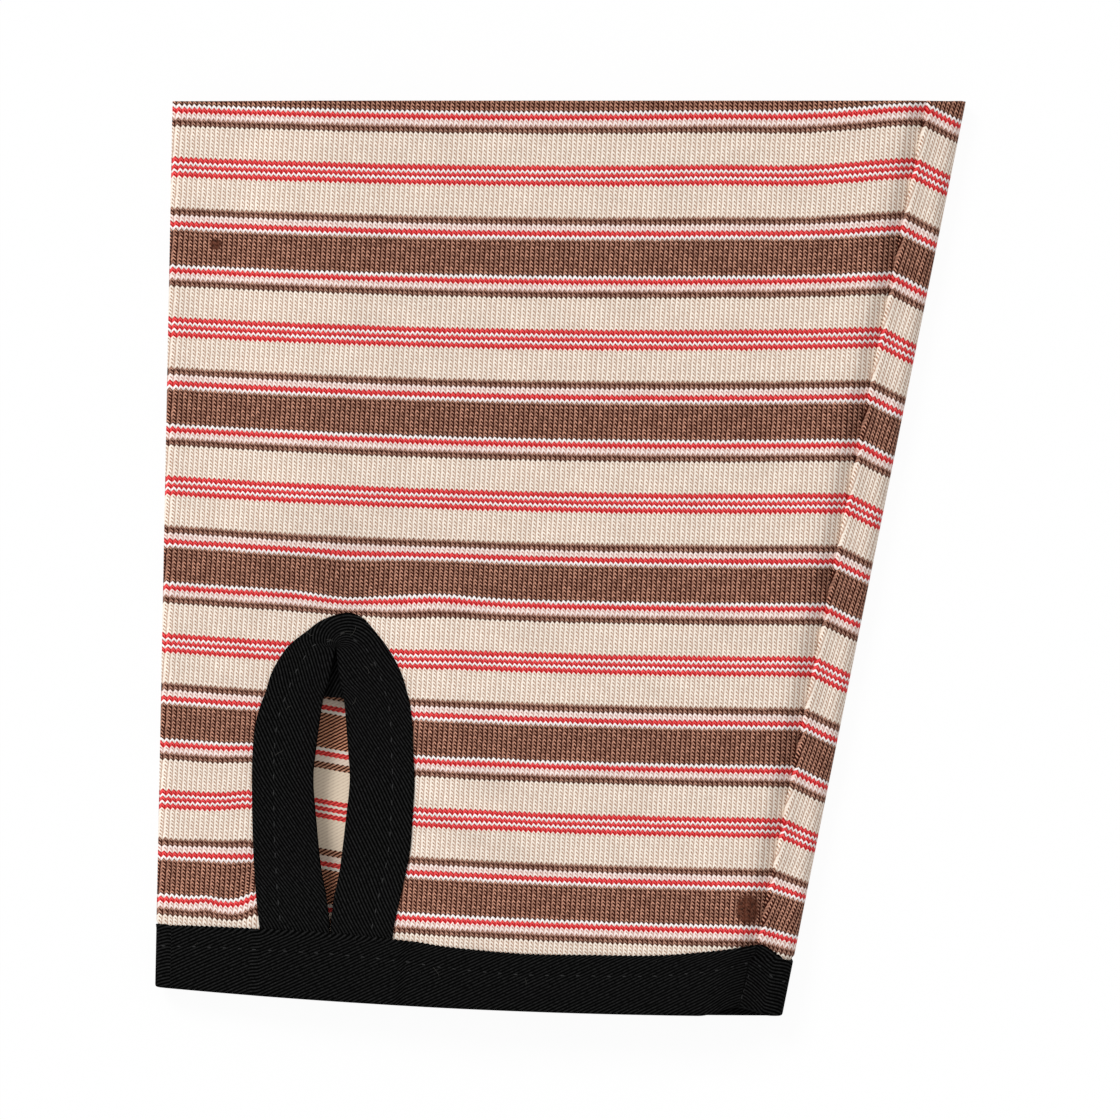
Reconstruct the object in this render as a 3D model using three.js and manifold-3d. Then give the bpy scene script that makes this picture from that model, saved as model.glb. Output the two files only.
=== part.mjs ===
// The cuff end of a striped jersey sleeve, lying flat with its two sides folded.
// A bound keyhole slit opens the front layer, and a twill binding closes the hem.
// Millimetres, +Z up, +Y from the hem to the straight raw cut, +X to the sewn side.
// The origin is the middle of the outline, on the surface that the cuff lies on.

import * as THREE from 'three';
import { mergeVertices } from 'three/addons/utils/BufferGeometryUtils.js';
import Module from 'manifold-3d';

const { lerp, smoothstep, degToRad } = THREE.MathUtils;

// Outline as it lies flat
const cutWidth = 142.9; // between the side folds at the raw cut
const hemWidth = 112.9; // between the side folds at the hem
const cuffLength = 164.7; // from the raw cut to the lowest point of the hem
const hemDrop = 5.2; // the hem curves this much lower towards the sewn side
const foldLean = 3.1; // sideways shift of the plain side fold from hem to cut

// Jersey tube
const jersey = 0.7; // thickness of the knitted cloth
const plainFoldRadius = 1.6; // middle of the cloth, on the side without a seam
const seamFoldRadius = 2.3; // the seam's layers hold this side rounder
const plainSlope = 28; // run over which the front rises from the plain fold
const seamSlope = 9.5; // run over which it rises from the sewn fold
const frontHeight = 7.9; // middle of the front layer above the table
const mouthGap = 4.3; // free height between the two layers of the bound hem
const keyholeSag = 3; // the front sinks this much round the open keyhole
const sagHemShare = 0.75; // share of it that is left at the stiffer hem
const sagFlat = 3; // full depth up to here on both sides of the keyhole's middle
const sagReach = 24; // and none from here on
const sagFade = 24; // dies out above the keyhole's head within this height

// Side seam, sewn right sides together and pressed towards the fold
const seamFromFold = 7.1; // seam line to the sewn side fold
const allowance = 3.9; // width of the overlocked seam allowance
const trimmedAllowance = 3; // cut narrower where the binding covers it
const layerGap = 0.15; // air between layers of the seam
const grooveRun = 3.2; // the front sinks to the seam over this width

// Twill binding, folded double over the raw edges
const ply = 0.25; // one layer of twill
const clearance = 0.3; // air between cloth and binding
const hemBindingWidth = 10.7;
const spreadOverKeyhole = 1.4; // extra width where it crosses the keyhole's legs
const turnIn = 5.5; // raw edge folded under
const foldDepth = 1.2; // depth of the binding's rounded centre fold
const edgeRounding = 0.3;
const bindingEase = 14; // the layers come down from the hem binding over this height
const sideEase = 4; // and the sides come out from it over this height
const swellRun = 1.8; // the hem binding rises over a leg or the seam within this width
const swellMargin = 0.5; // and stays up this far beyond it
const joinFromFold = 8.3; // where the binding's two ends are joined, from the sewn side fold
const joinLean = 0.9;

// Keyhole slit in the front layer
const keyholeFromFold = 31.55; // its middle line at the hem, from the plain side fold
const keyholeRise = 70; // hem to the rounded head of the binding
const dartRise = 63.4; // hem to the top of the closed dart
const openingWidth = 6.5; // widest place of the open slit
const keyholeHalfWidth = 14.5;
const dartLean = 1; // the dart stands this far right of the middle line
const closedGap = 0.36; // between the two folded edges where they meet

// Mouth of the hem beside the seam
const mouthFromFold = 9.3; // its middle, from the sewn side fold
const mouthHalfWidth = 7.2;
const mouthLift = 1.3; // the front hem edge rides up this much
const mouthFade = 30; // height over which the lift dies out

// Sewing threads
const threadRadius = 0.13;
const threadGap = 0.12; // air between a thread and the cloth that it lies on
const stitchPitch = 2.8;
const stitchCrown = 0.1; // a stitch stands this much above its two holes
const topstitchInset = 3.8; // from the binding's outer edge
const overlockPitch = 2.6;
const overlockStart = 20; // height of its lower end, above the hem binding
const needleFromSeam = 0.5; // the overlock's needle row, from the seam line
const threadTail = 0.6; // threads end this far inside the raw cut

const wall = 2 * ply;
const halfJersey = jersey / 2;
const bindingInside = halfJersey + clearance;
const bindingOutside = bindingInside + wall;
const legLayer = wall + clearance;
const edgeInset = wall + clearance;
const seamStep = jersey + layerGap;
const threadLift = threadGap + threadRadius;
const threadStack = threadLift + stitchCrown + threadRadius;
const hemLift = bindingOutside + threadStack;
const hemHeight = hemLift + 2 * bindingOutside + 2 * threadStack + mouthGap;
const overallWidth = threadStack + foldLean + cutWidth;
const cutY = cuffLength / 2;
const widestBinding = hemBindingWidth + spreadOverKeyhole;

// Ridges left in the front layer by lying folded: place as shares of the outline,
// lean in degrees, then length, width and height as shares of the cuff's length
const rippleShares = [
  { across: 0.09, up: 0.115, lean: 18, length: 0.075, width: 0.022, height: 0.0021 },
  { across: 0.66, up: 0.21, lean: -38, length: 0.13, width: 0.04, height: 0.003 },
  { across: 0.57, up: 0.3, lean: -30, length: 0.11, width: 0.035, height: 0.0024 },
];

// Keyhole stations from the foot of the legs to the top of the dart. As shares: height
// of the folded edge, width of the opening there, then height and reach of the binding's
// outer edge on the left leg, and the same on the right leg
const keyholeShares = [
  [0, 0, 0, 0.821, 0, 0.69],
  [0.184, 0, 0.159, 0.866, 0.171, 0.772],
  [0.219, 0.06, 0.191, 0.883, 0.211, 0.804],
  [0.292, 0.266, 0.254, 0.914, 0.276, 0.871],
  [0.355, 0.46, 0.312, 0.933, 0.34, 0.939],
  [0.422, 0.633, 0.368, 0.948, 0.405, 0.992],
  [0.514, 0.82, 0.458, 0.96, 0.49, 1.019],
  [0.623, 1, 0.549, 0.964, 0.574, 1.039],
  [0.706, 0.885, 0.624, 0.955, 0.646, 1.026],
  [0.778, 0.74, 0.689, 0.925, 0.704, 1.019],
  [0.834, 0.62, 0.744, 0.86, 0.747, 1],
  [0.866, 0.49, 0.783, 0.79, 0.78, 0.975],
  [0.883, 0.24, 0.818, 0.743, 0.809, 0.938],
  [0.891, 0, 0.845, 0.69, 0.838, 0.9],
  [0.946, 0, 0.881, 0.59, 0.873, 0.83],
  [1, 0, 0.909, 0.488, 0.919, 0.697],
];

// Rounded head of the keyhole binding, left to right: height share and reach share
const headShares = [
  [0.944, -0.293],
  [0.978, -0.085],
  [1, 0.203],
  [0.989, 0.399],
  [0.96, 0.535],
];

// Outline of the lying cuff
const leftFoldX = (rise) => threadStack + foldLean * rise - overallWidth / 2;
const tubeWidth = (rise) => lerp(hemWidth, cutWidth, rise);
const hemY = (share) => hemDrop * (1 - share) ** 2 - cuffLength / 2;
const riseAt = (height, share) => height / (cutY - hemY(share));
const keyholeX = leftFoldX(0) + keyholeFromFold;

function mouthShift(fromSeamFold, height) {
  const off = Math.abs(fromSeamFold - mouthFromFold) / mouthHalfWidth;
  const across = off < 1 ? Math.cos((off * Math.PI) / 2) ** 2 : 0;
  return mouthLift * across * (1 - smoothstep(height, 0, mouthFade));
}

// Place on the lying tube: distance from the plain fold, height above the table, rise share
function place(fromFold, z, rise, onFront) {
  const width = tubeWidth(rise);
  const edge = hemY(fromFold / width);
  const height = rise * (cutY - edge);
  const shift = onFront ? mouthShift(width - fromFold, height) : 0;
  return new THREE.Vector3(leftFoldX(rise) + fromFold, edge + height + shift, z);
}

// How far the jersey's middle lies inside the outline and above the table. Both are more
// under the hem binding, whose own thickness and stitches lie outside the cloth
const easeShare = (rise, ease) =>
  1 - smoothstep(rise * cuffLength, widestBinding, widestBinding + ease);
const bindingShare = (rise) => easeShare(rise, bindingEase);
const sideDepth = (rise) => lerp(halfJersey, bindingOutside, easeShare(rise, sideEase));
const backZ = (rise) => lerp(halfJersey, hemLift, bindingShare(rise));

function rippleHeight(fromFold, rise) {
  let sum = 0;
  for (const ripple of rippleShares) {
    const dx = fromFold - ripple.across * tubeWidth(rise);
    const dy = (rise - ripple.up) * cuffLength;
    const lean = degToRad(ripple.lean);
    const along = dx * Math.sin(lean) + dy * Math.cos(lean);
    const aside = dx * Math.cos(lean) - dy * Math.sin(lean);
    const span = ripple.length * cuffLength;
    const half = ripple.width * cuffLength;
    sum += ripple.height * cuffLength * Math.exp(-((along / span) ** 2) - (aside / half) ** 2);
  }
  return sum * (1 - bindingShare(rise));
}

// The slit's two sides sink towards the back layer
function sagDepth(fromFold, rise) {
  const off = Math.abs(leftFoldX(rise) + fromFold - keyholeX);
  const above = smoothstep(rise * cuffLength, keyholeRise, keyholeRise + sagFade);
  const depth = keyholeSag * lerp(1, sagHemShare, bindingShare(rise));
  return depth * (1 - above) * (1 - smoothstep(off, sagFlat, sagReach));
}

// Middle of the front layer above the table
function frontZ(fromFold, rise) {
  const side = sideDepth(rise);
  const crown = lerp(frontHeight, hemHeight, bindingShare(rise));
  const plainTop = backZ(rise) + 2 * plainFoldRadius;
  const seamTop = backZ(rise) + 2 * seamFoldRadius;
  const plainRun = fromFold - side - plainFoldRadius;
  const seamRun = tubeWidth(rise) - fromFold - side - seamFoldRadius;
  const plainDrop = (crown - plainTop) * (1 - smoothstep(plainRun, 0, plainSlope));
  const seamDrop = (crown - seamTop) * (1 - smoothstep(seamRun, 0, seamSlope));
  const level = crown - plainDrop - seamDrop;
  return level + rippleHeight(fromFold, rise) - sagDepth(fromFold, rise);
}

// Turns round the tube: 0 to 1 the front, 1 to 2 the sewn fold, 2 to 3 the back,
// 3 to 4 the plain fold. Gives the middle of the cloth and its outward direction
function aroundTube(turn, rise) {
  const start = sideDepth(rise) + plainFoldRadius;
  const end = tubeWidth(rise) - sideDepth(rise) - seamFoldRadius;
  const zone = Math.min(Math.floor(turn), 3);
  const share = turn - zone;
  if (zone === 0) {
    const x = lerp(start, end, share);
    const slope = (frontZ(x + jersey, rise) - frontZ(x - jersey, rise)) / (2 * jersey);
    const length = Math.hypot(slope, 1);
    return { x, z: frontZ(x, rise), outX: -slope / length, outZ: 1 / length };
  }
  if (zone === 2) {
    return { x: lerp(end, start, share), z: backZ(rise), outX: 0, outZ: -1 };
  }
  const sewn = zone === 1;
  const radius = sewn ? seamFoldRadius : plainFoldRadius;
  const angle = sewn ? (0.5 - share) * Math.PI : (-0.5 - share) * Math.PI;
  const x = (sewn ? end : start) + radius * Math.cos(angle);
  const z = backZ(rise) + radius + radius * Math.sin(angle);
  return { x, z, outX: Math.cos(angle), outZ: Math.sin(angle) };
}

// Rings of points joined into one closed body, with flat ends or joined end to end
function bodyFromRings(rings, looped) {
  const count = rings[0].length;
  const positions = rings.flat().flatMap((point) => point.toArray());
  const index = [];
  const spans = looped ? rings.length : rings.length - 1;
  for (let row = 0; row < spans; row += 1) {
    const near = row * count;
    const far = ((row + 1) % rings.length) * count;
    for (let i = 0; i < count; i += 1) {
      const j = (i + 1) % count;
      index.push(near + i, near + j, far + j, near + i, far + j, far + i);
    }
  }
  if (!looped) {
    const last = (rings.length - 1) * count;
    for (const [a, b, c] of endCap(rings[0])) index.push(a, c, b);
    for (const [a, b, c] of endCap(rings[rings.length - 1])) index.push(last + a, last + b, last + c);
  }
  const geometry = new THREE.BufferGeometry();
  geometry.setAttribute('position', new THREE.Float32BufferAttribute(positions, 3));
  geometry.setIndex(index);
  return facingOut(geometry);
}

// Triangles of a flat end, found in the plane that it lies in
function endCap(ring) {
  const area = new THREE.Vector3();
  for (let i = 0; i < ring.length; i += 1) {
    area.add(new THREE.Vector3().crossVectors(ring[i], ring[(i + 1) % ring.length]));
  }
  const normal = area.normalize();
  const sideways = new THREE.Vector3(1, 0, 0);
  if (Math.abs(normal.z) < Math.SQRT1_2) sideways.set(0, 0, 1);
  const u = new THREE.Vector3().crossVectors(sideways, normal).normalize();
  const v = new THREE.Vector3().crossVectors(normal, u);
  const flat = ring.map((point) => new THREE.Vector2(point.dot(u), point.dot(v)));
  return THREE.ShapeUtils.triangulateShape(flat, []);
}

function facingOut(geometry) {
  const points = geometry.getAttribute('position');
  const index = geometry.getIndex();
  const [a, b, c] = [new THREE.Vector3(), new THREE.Vector3(), new THREE.Vector3()];
  let volume = 0;
  for (let i = 0; i < index.count; i += 3) {
    a.fromBufferAttribute(points, index.getX(i));
    b.fromBufferAttribute(points, index.getX(i + 1));
    c.fromBufferAttribute(points, index.getX(i + 2));
    volume += a.dot(b.cross(c));
  }
  if (volume < 0) index.array.reverse();
  return geometry;
}

// Even steps from start to end, both ends included
function steps(start, end, count) {
  return Array.from({ length: count + 1 }, (_, i) => lerp(start, end, i / count));
}

// Panel: one strip of jersey round the tube, its two long edges turned in at the seam
const foldSteps = 5;

function seamDip(fromFold, width) {
  const seam = width - seamFromFold;
  return 2 * seamStep * smoothstep(fromFold, seam - grooveRun - halfJersey, seam - halfJersey);
}

function panelMiddle(rise) {
  const side = sideDepth(rise);
  const width = tubeWidth(rise);
  const seam = width - seamFromFold;
  const turnRadius = seamStep / 2;
  const turnX = seam + halfJersey + turnRadius;
  const tip = seam + lerp(allowance, trimmedAllowance, bindingShare(rise));
  const middle = [];
  const add = (x, z, onFront) => middle.push({ x, z, onFront });
  for (const x of steps(tip, turnX, 2)) add(x, frontZ(x, rise) - seamStep, true);
  const turnZ = frontZ(turnX, rise) - turnRadius;
  for (const angle of [-0.75, 1, 0.75]) {
    const turned = angle * Math.PI;
    add(turnX + turnRadius * Math.cos(turned), turnZ + turnRadius * Math.sin(turned), true);
  }
  const strip = steps(turnX, width - side - seamFoldRadius, 2);
  for (const x of strip) add(x, frontZ(x, rise), true);
  for (const share of steps(0, 1, foldSteps).slice(1)) {
    const at = aroundTube(1 + share, rise);
    add(at.x, at.z, false);
  }
  for (const share of steps(0, 1, 3).slice(1, 3)) {
    const at = aroundTube(2 + share, rise);
    add(at.x, at.z, false);
  }
  for (const share of steps(0, 1, foldSteps)) {
    const at = aroundTube(3 + share, rise);
    add(at.x, at.z, share === 1);
  }
  const start = side + plainFoldRadius;
  const grooveStart = seam - halfJersey - grooveRun;
  for (const x of steps(start, grooveStart, 26).slice(1)) add(x, frontZ(x, rise), true);
  for (const x of steps(grooveStart, seam - halfJersey, 4).slice(1)) {
    add(x, frontZ(x, rise) - seamDip(x, width), true);
  }
  for (const x of steps(seam + turnRadius, tip, 2)) add(x, frontZ(x, rise) - 2 * seamStep, true);
  return middle;
}

// Offsets a line to both sides by half the cloth, square to it at each point
function clothRing(middle, rise) {
  const above = [];
  const below = [];
  middle.forEach((point, i) => {
    const before = middle[Math.max(i - 1, 0)];
    const after = middle[Math.min(i + 1, middle.length - 1)];
    const inward = unit(point.x - before.x, point.z - before.z);
    const outward = unit(after.x - point.x, after.z - point.z);
    const first = i === 0 ? outward : inward;
    const second = i === middle.length - 1 ? inward : outward;
    const side = unit(-(first[1] + second[1]), first[0] + second[0]);
    const miter = halfJersey / Math.max(side[1] * first[0] - side[0] * first[1], 0.5);
    above.push(place(point.x + side[0] * miter, point.z + side[1] * miter, rise, point.onFront));
    below.push(place(point.x - side[0] * miter, point.z - side[1] * miter, rise, point.onFront));
  });
  return [...above, ...below.reverse()];
}

function unit(x, z) {
  const length = Math.hypot(x, z);
  return [x / length, z / length];
}

// Heights of the panel's rows as shares of the length above the hem binding's top edge
const lowRowShares = [0, 0.02, 0.045, 0.07, 0.1, 0.13, 0.16, 0.195, 0.23, 0.27];
const highRowShares = [0.31, 0.35, 0.38, 0.41, 0.44, 0.47, 0.5, 0.54, 0.75, 1];
const rowShares = [...lowRowShares, ...highRowShares];

function panelRises() {
  const foot = edgeInset / cuffLength;
  const top = widestBinding / cuffLength;
  return [foot, (foot + top) / 2, ...rowShares.map((share) => lerp(top, 1, share))];
}

// Keyhole: its stations give the folded edge and the binding's outer edge in plan
function planPoint(x, height) {
  const share = (x - leftFoldX(0)) / hemWidth;
  return new THREE.Vector2(x, hemY(share) + height);
}

function keyholeStations() {
  const legs = { left: [], right: [] };
  for (const [edge, open, leftUp, leftReach, rightUp, rightReach] of keyholeShares) {
    const height = lerp(edgeInset, dartRise, edge);
    const middle = keyholeX + dartLean * edge ** 3;
    const half = closedGap / 2 + (open * (openingWidth - closedGap)) / 2;
    legs.left.push({
      inner: planPoint(middle - half, height),
      outer: planPoint(keyholeX - leftReach * keyholeHalfWidth, lerp(edgeInset, keyholeRise, leftUp)),
    });
    legs.right.unshift({
      inner: planPoint(middle + half, height),
      outer: planPoint(keyholeX + rightReach * keyholeHalfWidth, lerp(edgeInset, keyholeRise, rightUp)),
    });
  }
  const dartTop = planPoint(keyholeX + dartLean, dartRise);
  const head = headShares.map(([up, reach]) => {
    const outer = planPoint(keyholeX + reach * keyholeHalfWidth, lerp(edgeInset, keyholeRise, up));
    const toOuter = outer.clone().sub(dartTop).setLength(closedGap / 2);
    return { inner: dartTop.clone().add(toOuter), outer };
  });
  return [...legs.left, ...head, ...legs.right];
}

// Height of the front layer's middle over a point of the plan
function frontZOver(x, y) {
  let share = 0.5;
  let rise = 0.5;
  for (let pass = 0; pass < 8; pass += 1) {
    rise = (y - hemY(share)) / (cutY - hemY(share));
    share = (x - leftFoldX(rise)) / tubeWidth(rise);
  }
  return frontZ(share * tubeWidth(rise), rise);
}

const alongStation = (station, inset) => {
  const across = station.outer.clone().sub(station.inner).setLength(inset);
  return station.inner.clone().add(across);
};

// Double folded binding in section: distance from the centre fold, offset from the cloth.
// The raw edges turn in, so the wall is two layers thick up to the turned edge
function bindingSection(width, insideAbove, insideBelow) {
  const above = insideAbove + wall;
  const below = insideBelow + wall;
  const middle = (above - below) / 2;
  const half = (above + below) / 2;
  const outerArc = (share) => [
    foldDepth * (1 - Math.cos(share * Math.PI / 2)),
    middle + half * Math.sin(share * Math.PI / 2),
  ];
  const innerArc = (share) => [
    ply + (foldDepth - ply) * (1 - Math.cos(share * Math.PI / 2)),
    middle + (half - ply) * Math.sin(share * Math.PI / 2),
  ];
  const topWall = [
    [width - topstitchInset, above],
    [width - edgeRounding, above],
    [width, above - ply],
    [width - edgeRounding, insideAbove],
    [width - turnIn, insideAbove],
    [width - turnIn, insideAbove + ply],
  ];
  const bottomWall = [
    [width - turnIn, -insideBelow - ply],
    [width - turnIn, -insideBelow],
    [width - edgeRounding, -insideBelow],
    [width, -below + ply],
    [width - edgeRounding, -below],
    [width - topstitchInset, -below],
  ];
  const inside = [1, 0.5, 0, -0.5, -1].map(innerArc);
  const outside = [-1, -0.5, 0, 0.5, 1].map(outerArc);
  return [...topWall, ...inside, ...bottomWall, ...outside];
}

function keyholeBinding() {
  const rings = keyholeStations().map((station) => {
    const width = station.outer.distanceTo(station.inner);
    return bindingSection(width, bindingInside, bindingInside).map(([inset, offset]) => {
      const plan = alongStation(station, inset);
      return new THREE.Vector3(plan.x, plan.y, frontZOver(plan.x, plan.y) + offset);
    });
  });
  return bodyFromRings(rings, false);
}

// Cut through the front layer only, just inside the keyhole binding's folded edge
async function sleevePanel() {
  const rings = panelRises().map((rise) => clothRing(panelMiddle(rise), rise));
  const tube = bodyFromRings(rings, false);
  const edge = keyholeStations().map((station) => alongStation(station, edgeInset));
  const below = new THREE.Vector2(0, 2 * edgeInset);
  const outline = [edge[0].clone().sub(below), ...edge, edge[edge.length - 1].clone().sub(below)];
  const cutter = new THREE.ExtrudeGeometry(new THREE.Shape(outline), {
    depth: hemHeight,
    bevelEnabled: false,
  });
  cutter.translate(0, 0, (frontHeight - keyholeSag) / 2);
  const wasm = await Module();
  wasm.setup();
  const solid = (geometry) => {
    geometry.deleteAttribute('normal');
    geometry.deleteAttribute('uv');
    const merged = mergeVertices(geometry);
    const mesh = new wasm.Mesh({
      numProp: 3,
      vertProperties: new Float32Array(merged.getAttribute('position').array),
      triVerts: new Uint32Array(merged.getIndex().array),
    });
    return new wasm.Manifold(mesh);
  };
  const cut = solid(tube).subtract(solid(cutter)).getMesh();
  const geometry = new THREE.BufferGeometry();
  geometry.setAttribute('position', new THREE.BufferAttribute(cut.vertProperties, 3));
  geometry.setIndex(new THREE.BufferAttribute(cut.triVerts, 1));
  return geometry;
}

// Hem binding: it swells over the keyhole's legs, and inside the tube over the seam
function hemBindingHeight(share) {
  const off = (share * hemWidth - keyholeFromFold) / plainSlope;
  return hemBindingWidth + spreadOverKeyhole * Math.exp(-(off ** 2));
}

const legShares = keyholeShares[1];
const legsStart = keyholeFromFold - legShares[3] * keyholeHalfWidth;
const legsEnd = keyholeFromFold + legShares[5] * keyholeHalfWidth;

function legSwell(fromFold) {
  const up = smoothstep(fromFold, legsStart - swellMargin - swellRun, legsStart - swellMargin);
  const down = smoothstep(fromFold, legsEnd + swellMargin, legsEnd + swellMargin + swellRun);
  return legLayer * (up - down);
}

function seamSwell(fromFold, width) {
  const seam = width - seamFromFold;
  const up = smoothstep(fromFold, seam - grooveRun - 2 * halfJersey - swellMargin, seam - jersey);
  const tip = seam + trimmedAllowance + layerGap;
  const down = smoothstep(fromFold, tip, width - bindingOutside);
  return 2 * seamStep * (up - down);
}

function hemSection(turn) {
  const onFront = turn <= 1;
  const foot = aroundTube(turn, 0);
  const width = tubeWidth(0);
  const sewnHalf = turn < 1.5;
  const swell = onFront ? legSwell(foot.x) : 0;
  const inward = sewnHalf ? Math.max(swell, seamSwell(foot.x, width)) : swell;
  const share = foot.x / width;
  const height = onFront ? hemBindingHeight(share) : hemBindingWidth;
  return { share, height, above: bindingInside + swell, below: bindingInside + inward };
}

function onHem(turn, height, offset, share) {
  const rise = riseAt(height, share);
  const at = aroundTube(turn, rise);
  return place(at.x + at.outX * offset, at.z + at.outZ * offset, rise, turn <= 1);
}

function hemTurns() {
  const start = bindingOutside + plainFoldRadius;
  const end = hemWidth - bindingOutside - seamFoldRadius;
  const seam = hemWidth - seamFromFold;
  const front = [
    ...steps(start, legsStart - swellMargin - swellRun, 7),
    ...steps(legsStart - swellMargin, legsEnd + swellMargin, 8),
    ...steps(legsEnd + swellMargin + swellRun, seam - grooveRun - jersey - swellMargin, 14),
    ...steps(seam - grooveRun / 2 - jersey, seam + trimmedAllowance + layerGap, 3),
  ];
  const turns = front.map((x) => (x - start) / (end - start));
  turns.push(...steps(1, 2, foldSteps));
  turns.push(...steps(2, 3, 3).slice(1, 3));
  turns.push(...steps(3, 4, foldSteps).slice(0, foldSteps));
  return turns;
}

function hemBinding() {
  const rings = hemTurns().map((turn) => {
    const section = hemSection(turn);
    return bindingSection(section.height, section.above, section.below)
      .map(([height, offset]) => onHem(turn, height, offset, section.share));
  });
  return bodyFromRings(rings, true);
}

// Sewing threads: one unbroken tube a row, of a three sided section
const threadSides = 3;

function threadTube(points) {
  const rings = points.map((point, i) => {
    const before = points[Math.max(i - 1, 0)];
    const after = points[Math.min(i + 1, points.length - 1)];
    const along = after.clone().sub(before).normalize();
    const side = new THREE.Vector3(0, 0, 1).cross(along);
    if (side.lengthSq() < threadRadius ** 2) side.set(0, 1, 0).cross(along);
    side.normalize();
    const up = along.clone().cross(side);
    return steps(0, 2 * Math.PI, threadSides).slice(0, threadSides).map((angle) => point.clone()
      .addScaledVector(side, threadRadius * Math.cos(angle))
      .addScaledVector(up, threadRadius * Math.sin(angle)));
  });
  return bodyFromRings(rings, false);
}

// A stitch has two holes and a flat crown between them
const crownAt = (i) => (i % 3 === 0 ? 0 : stitchCrown);

// A point beside the hem binding, on the flat facets between its own stations
function besideHem(turn, heightOf, offsetOf) {
  const turns = [...hemTurns(), 4];
  const next = turns.findIndex((other) => other > turn);
  const [from, to] = [turns[next - 1], turns[next]].map((station) => {
    const section = hemSection(station % 4);
    return onHem(station % 4, heightOf(section), offsetOf(section), section.share);
  });
  return from.lerp(to, (turn - turns[next - 1]) / (turns[next] - turns[next - 1]));
}

function hemStitches(side) {
  const start = bindingOutside + plainFoldRadius;
  const end = hemWidth - bindingOutside - seamFoldRadius;
  const lengths = [end - start, Math.PI * seamFoldRadius, end - start, Math.PI * plainFoldRadius];
  const points = [];
  lengths.forEach((length, zone) => {
    const count = 3 * Math.max(1, Math.round(length / stitchPitch));
    for (const share of steps(0, 1, count).slice(0, count)) {
      const lift = wall + threadLift + crownAt(points.length);
      const heightOf = (section) => section.height - topstitchInset;
      const offsetOf = (section) => side * ((side > 0 ? section.above : section.below) + lift);
      points.push(besideHem(zone + share, heightOf, offsetOf));
    }
  });
  return threadTube(points);
}

// Follows the keyhole binding at an even distance from its outer edge
function keyholeStitches(side) {
  const foot = widestBinding + clearance + threadLift;
  const route = [];
  for (const station of keyholeStations()) {
    const width = station.outer.distanceTo(station.inner);
    const plan = alongStation(station, width - topstitchInset);
    const z = frontZOver(plan.x, plan.y) + side * (bindingOutside + threadLift);
    if (plan.y > planPoint(plan.x, foot).y) route.push(new THREE.Vector3(plan.x, plan.y, z));
  }
  const path = new THREE.CurvePath();
  for (let i = 1; i < route.length; i += 1) path.add(new THREE.LineCurve3(route[i - 1], route[i]));
  const count = 3 * Math.round(path.getLength() / stitchPitch);
  const points = steps(0, 1, count).map((share, i) => {
    const point = path.getPoint(share);
    point.z += side * crownAt(i);
    return point;
  });
  return threadTube(points);
}

// Overlock on the seam allowance: a needle row, and two loopers that swing between it
// and the raw edge
function overlock(step) {
  const length = cuffLength - overlockStart - threadTail;
  const count = 2 * Math.round(length / overlockPitch);
  const points = steps(overlockStart, cuffLength - threadTail, count).map((height, i) => {
    const rise = height / cuffLength;
    const seam = tubeWidth(rise) - seamFromFold;
    const { fromSeam, drop } = step(i % 2);
    const x = seam + fromSeam;
    return place(x, frontZ(x, rise) - drop, rise, true);
  });
  return threadTube(points);
}

const underSeam = 2 * seamStep + halfJersey + threadLift;

const overlockRows = {
  needle: (odd) => ({ fromSeam: needleFromSeam, drop: underSeam + odd * stitchCrown }),
  lowerLooper: (odd) => ({
    fromSeam: odd ? allowance - threadRadius : needleFromSeam + 2 * threadLift,
    drop: underSeam + stitchCrown,
  }),
  upperLooper: (odd) => ({
    fromSeam: allowance + threadLift,
    drop: odd ? seamStep : 2 * seamStep,
  }),
};

// Row that joins the two ends of the hem binding, on its outer face
function joinStitches() {
  const start = bindingOutside + plainFoldRadius;
  const end = hemWidth - bindingOutside - seamFoldRadius;
  const height = hemBindingWidth - topstitchInset - 2 * threadLift;
  const count = 2 * Math.round((height - foldDepth) / stitchPitch);
  const points = steps(foldDepth, height, count).map((up, i) => {
    const x = hemWidth - joinFromFold + joinLean * (up / hemBindingWidth);
    const turn = (x - start) / (end - start);
    const lift = wall + threadLift + (i % 2) * stitchCrown;
    return besideHem(turn, () => up, (section) => section.above + lift);
  });
  return threadTube(points);
}

const jerseyCloth = new THREE.MeshStandardMaterial({ color: 0xe9dac6, roughness: 0.95, metalness: 0 });
const twill = new THREE.MeshStandardMaterial({ color: 0x161616, roughness: 0.9, metalness: 0 });
const darkThread = new THREE.MeshStandardMaterial({ color: 0x222222, roughness: 0.7, metalness: 0 });
const paleThread = new THREE.MeshStandardMaterial({ color: 0xdccbb6, roughness: 0.8, metalness: 0 });

const cuff = new THREE.Group();

function add(name, geometry, material) {
  const mesh = new THREE.Mesh(geometry, material);
  mesh.name = name;
  cuff.add(mesh);
}

add('sleeve_panel', await sleevePanel(), jerseyCloth);
add('keyhole_binding', keyholeBinding(), twill);
add('hem_binding', hemBinding(), twill);
add('keyhole_topstitch_needle_thread', keyholeStitches(1), darkThread);
add('keyhole_topstitch_bobbin_thread', keyholeStitches(-1), darkThread);
add('hem_topstitch_needle_thread', hemStitches(1), darkThread);
add('hem_topstitch_bobbin_thread', hemStitches(-1), darkThread);
add('hem_binding_join_thread', joinStitches(), darkThread);
add('overlock_needle_thread', overlock(overlockRows.needle), paleThread);
add('overlock_lower_looper_thread', overlock(overlockRows.lowerLooper), paleThread);
add('overlock_upper_looper_thread', overlock(overlockRows.upperLooper), paleThread);

export default cuff;
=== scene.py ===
"""Cuff end of a striped jersey sleeve, lying flat: knit, twill bindings and sewing."""

import math
import random

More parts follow.
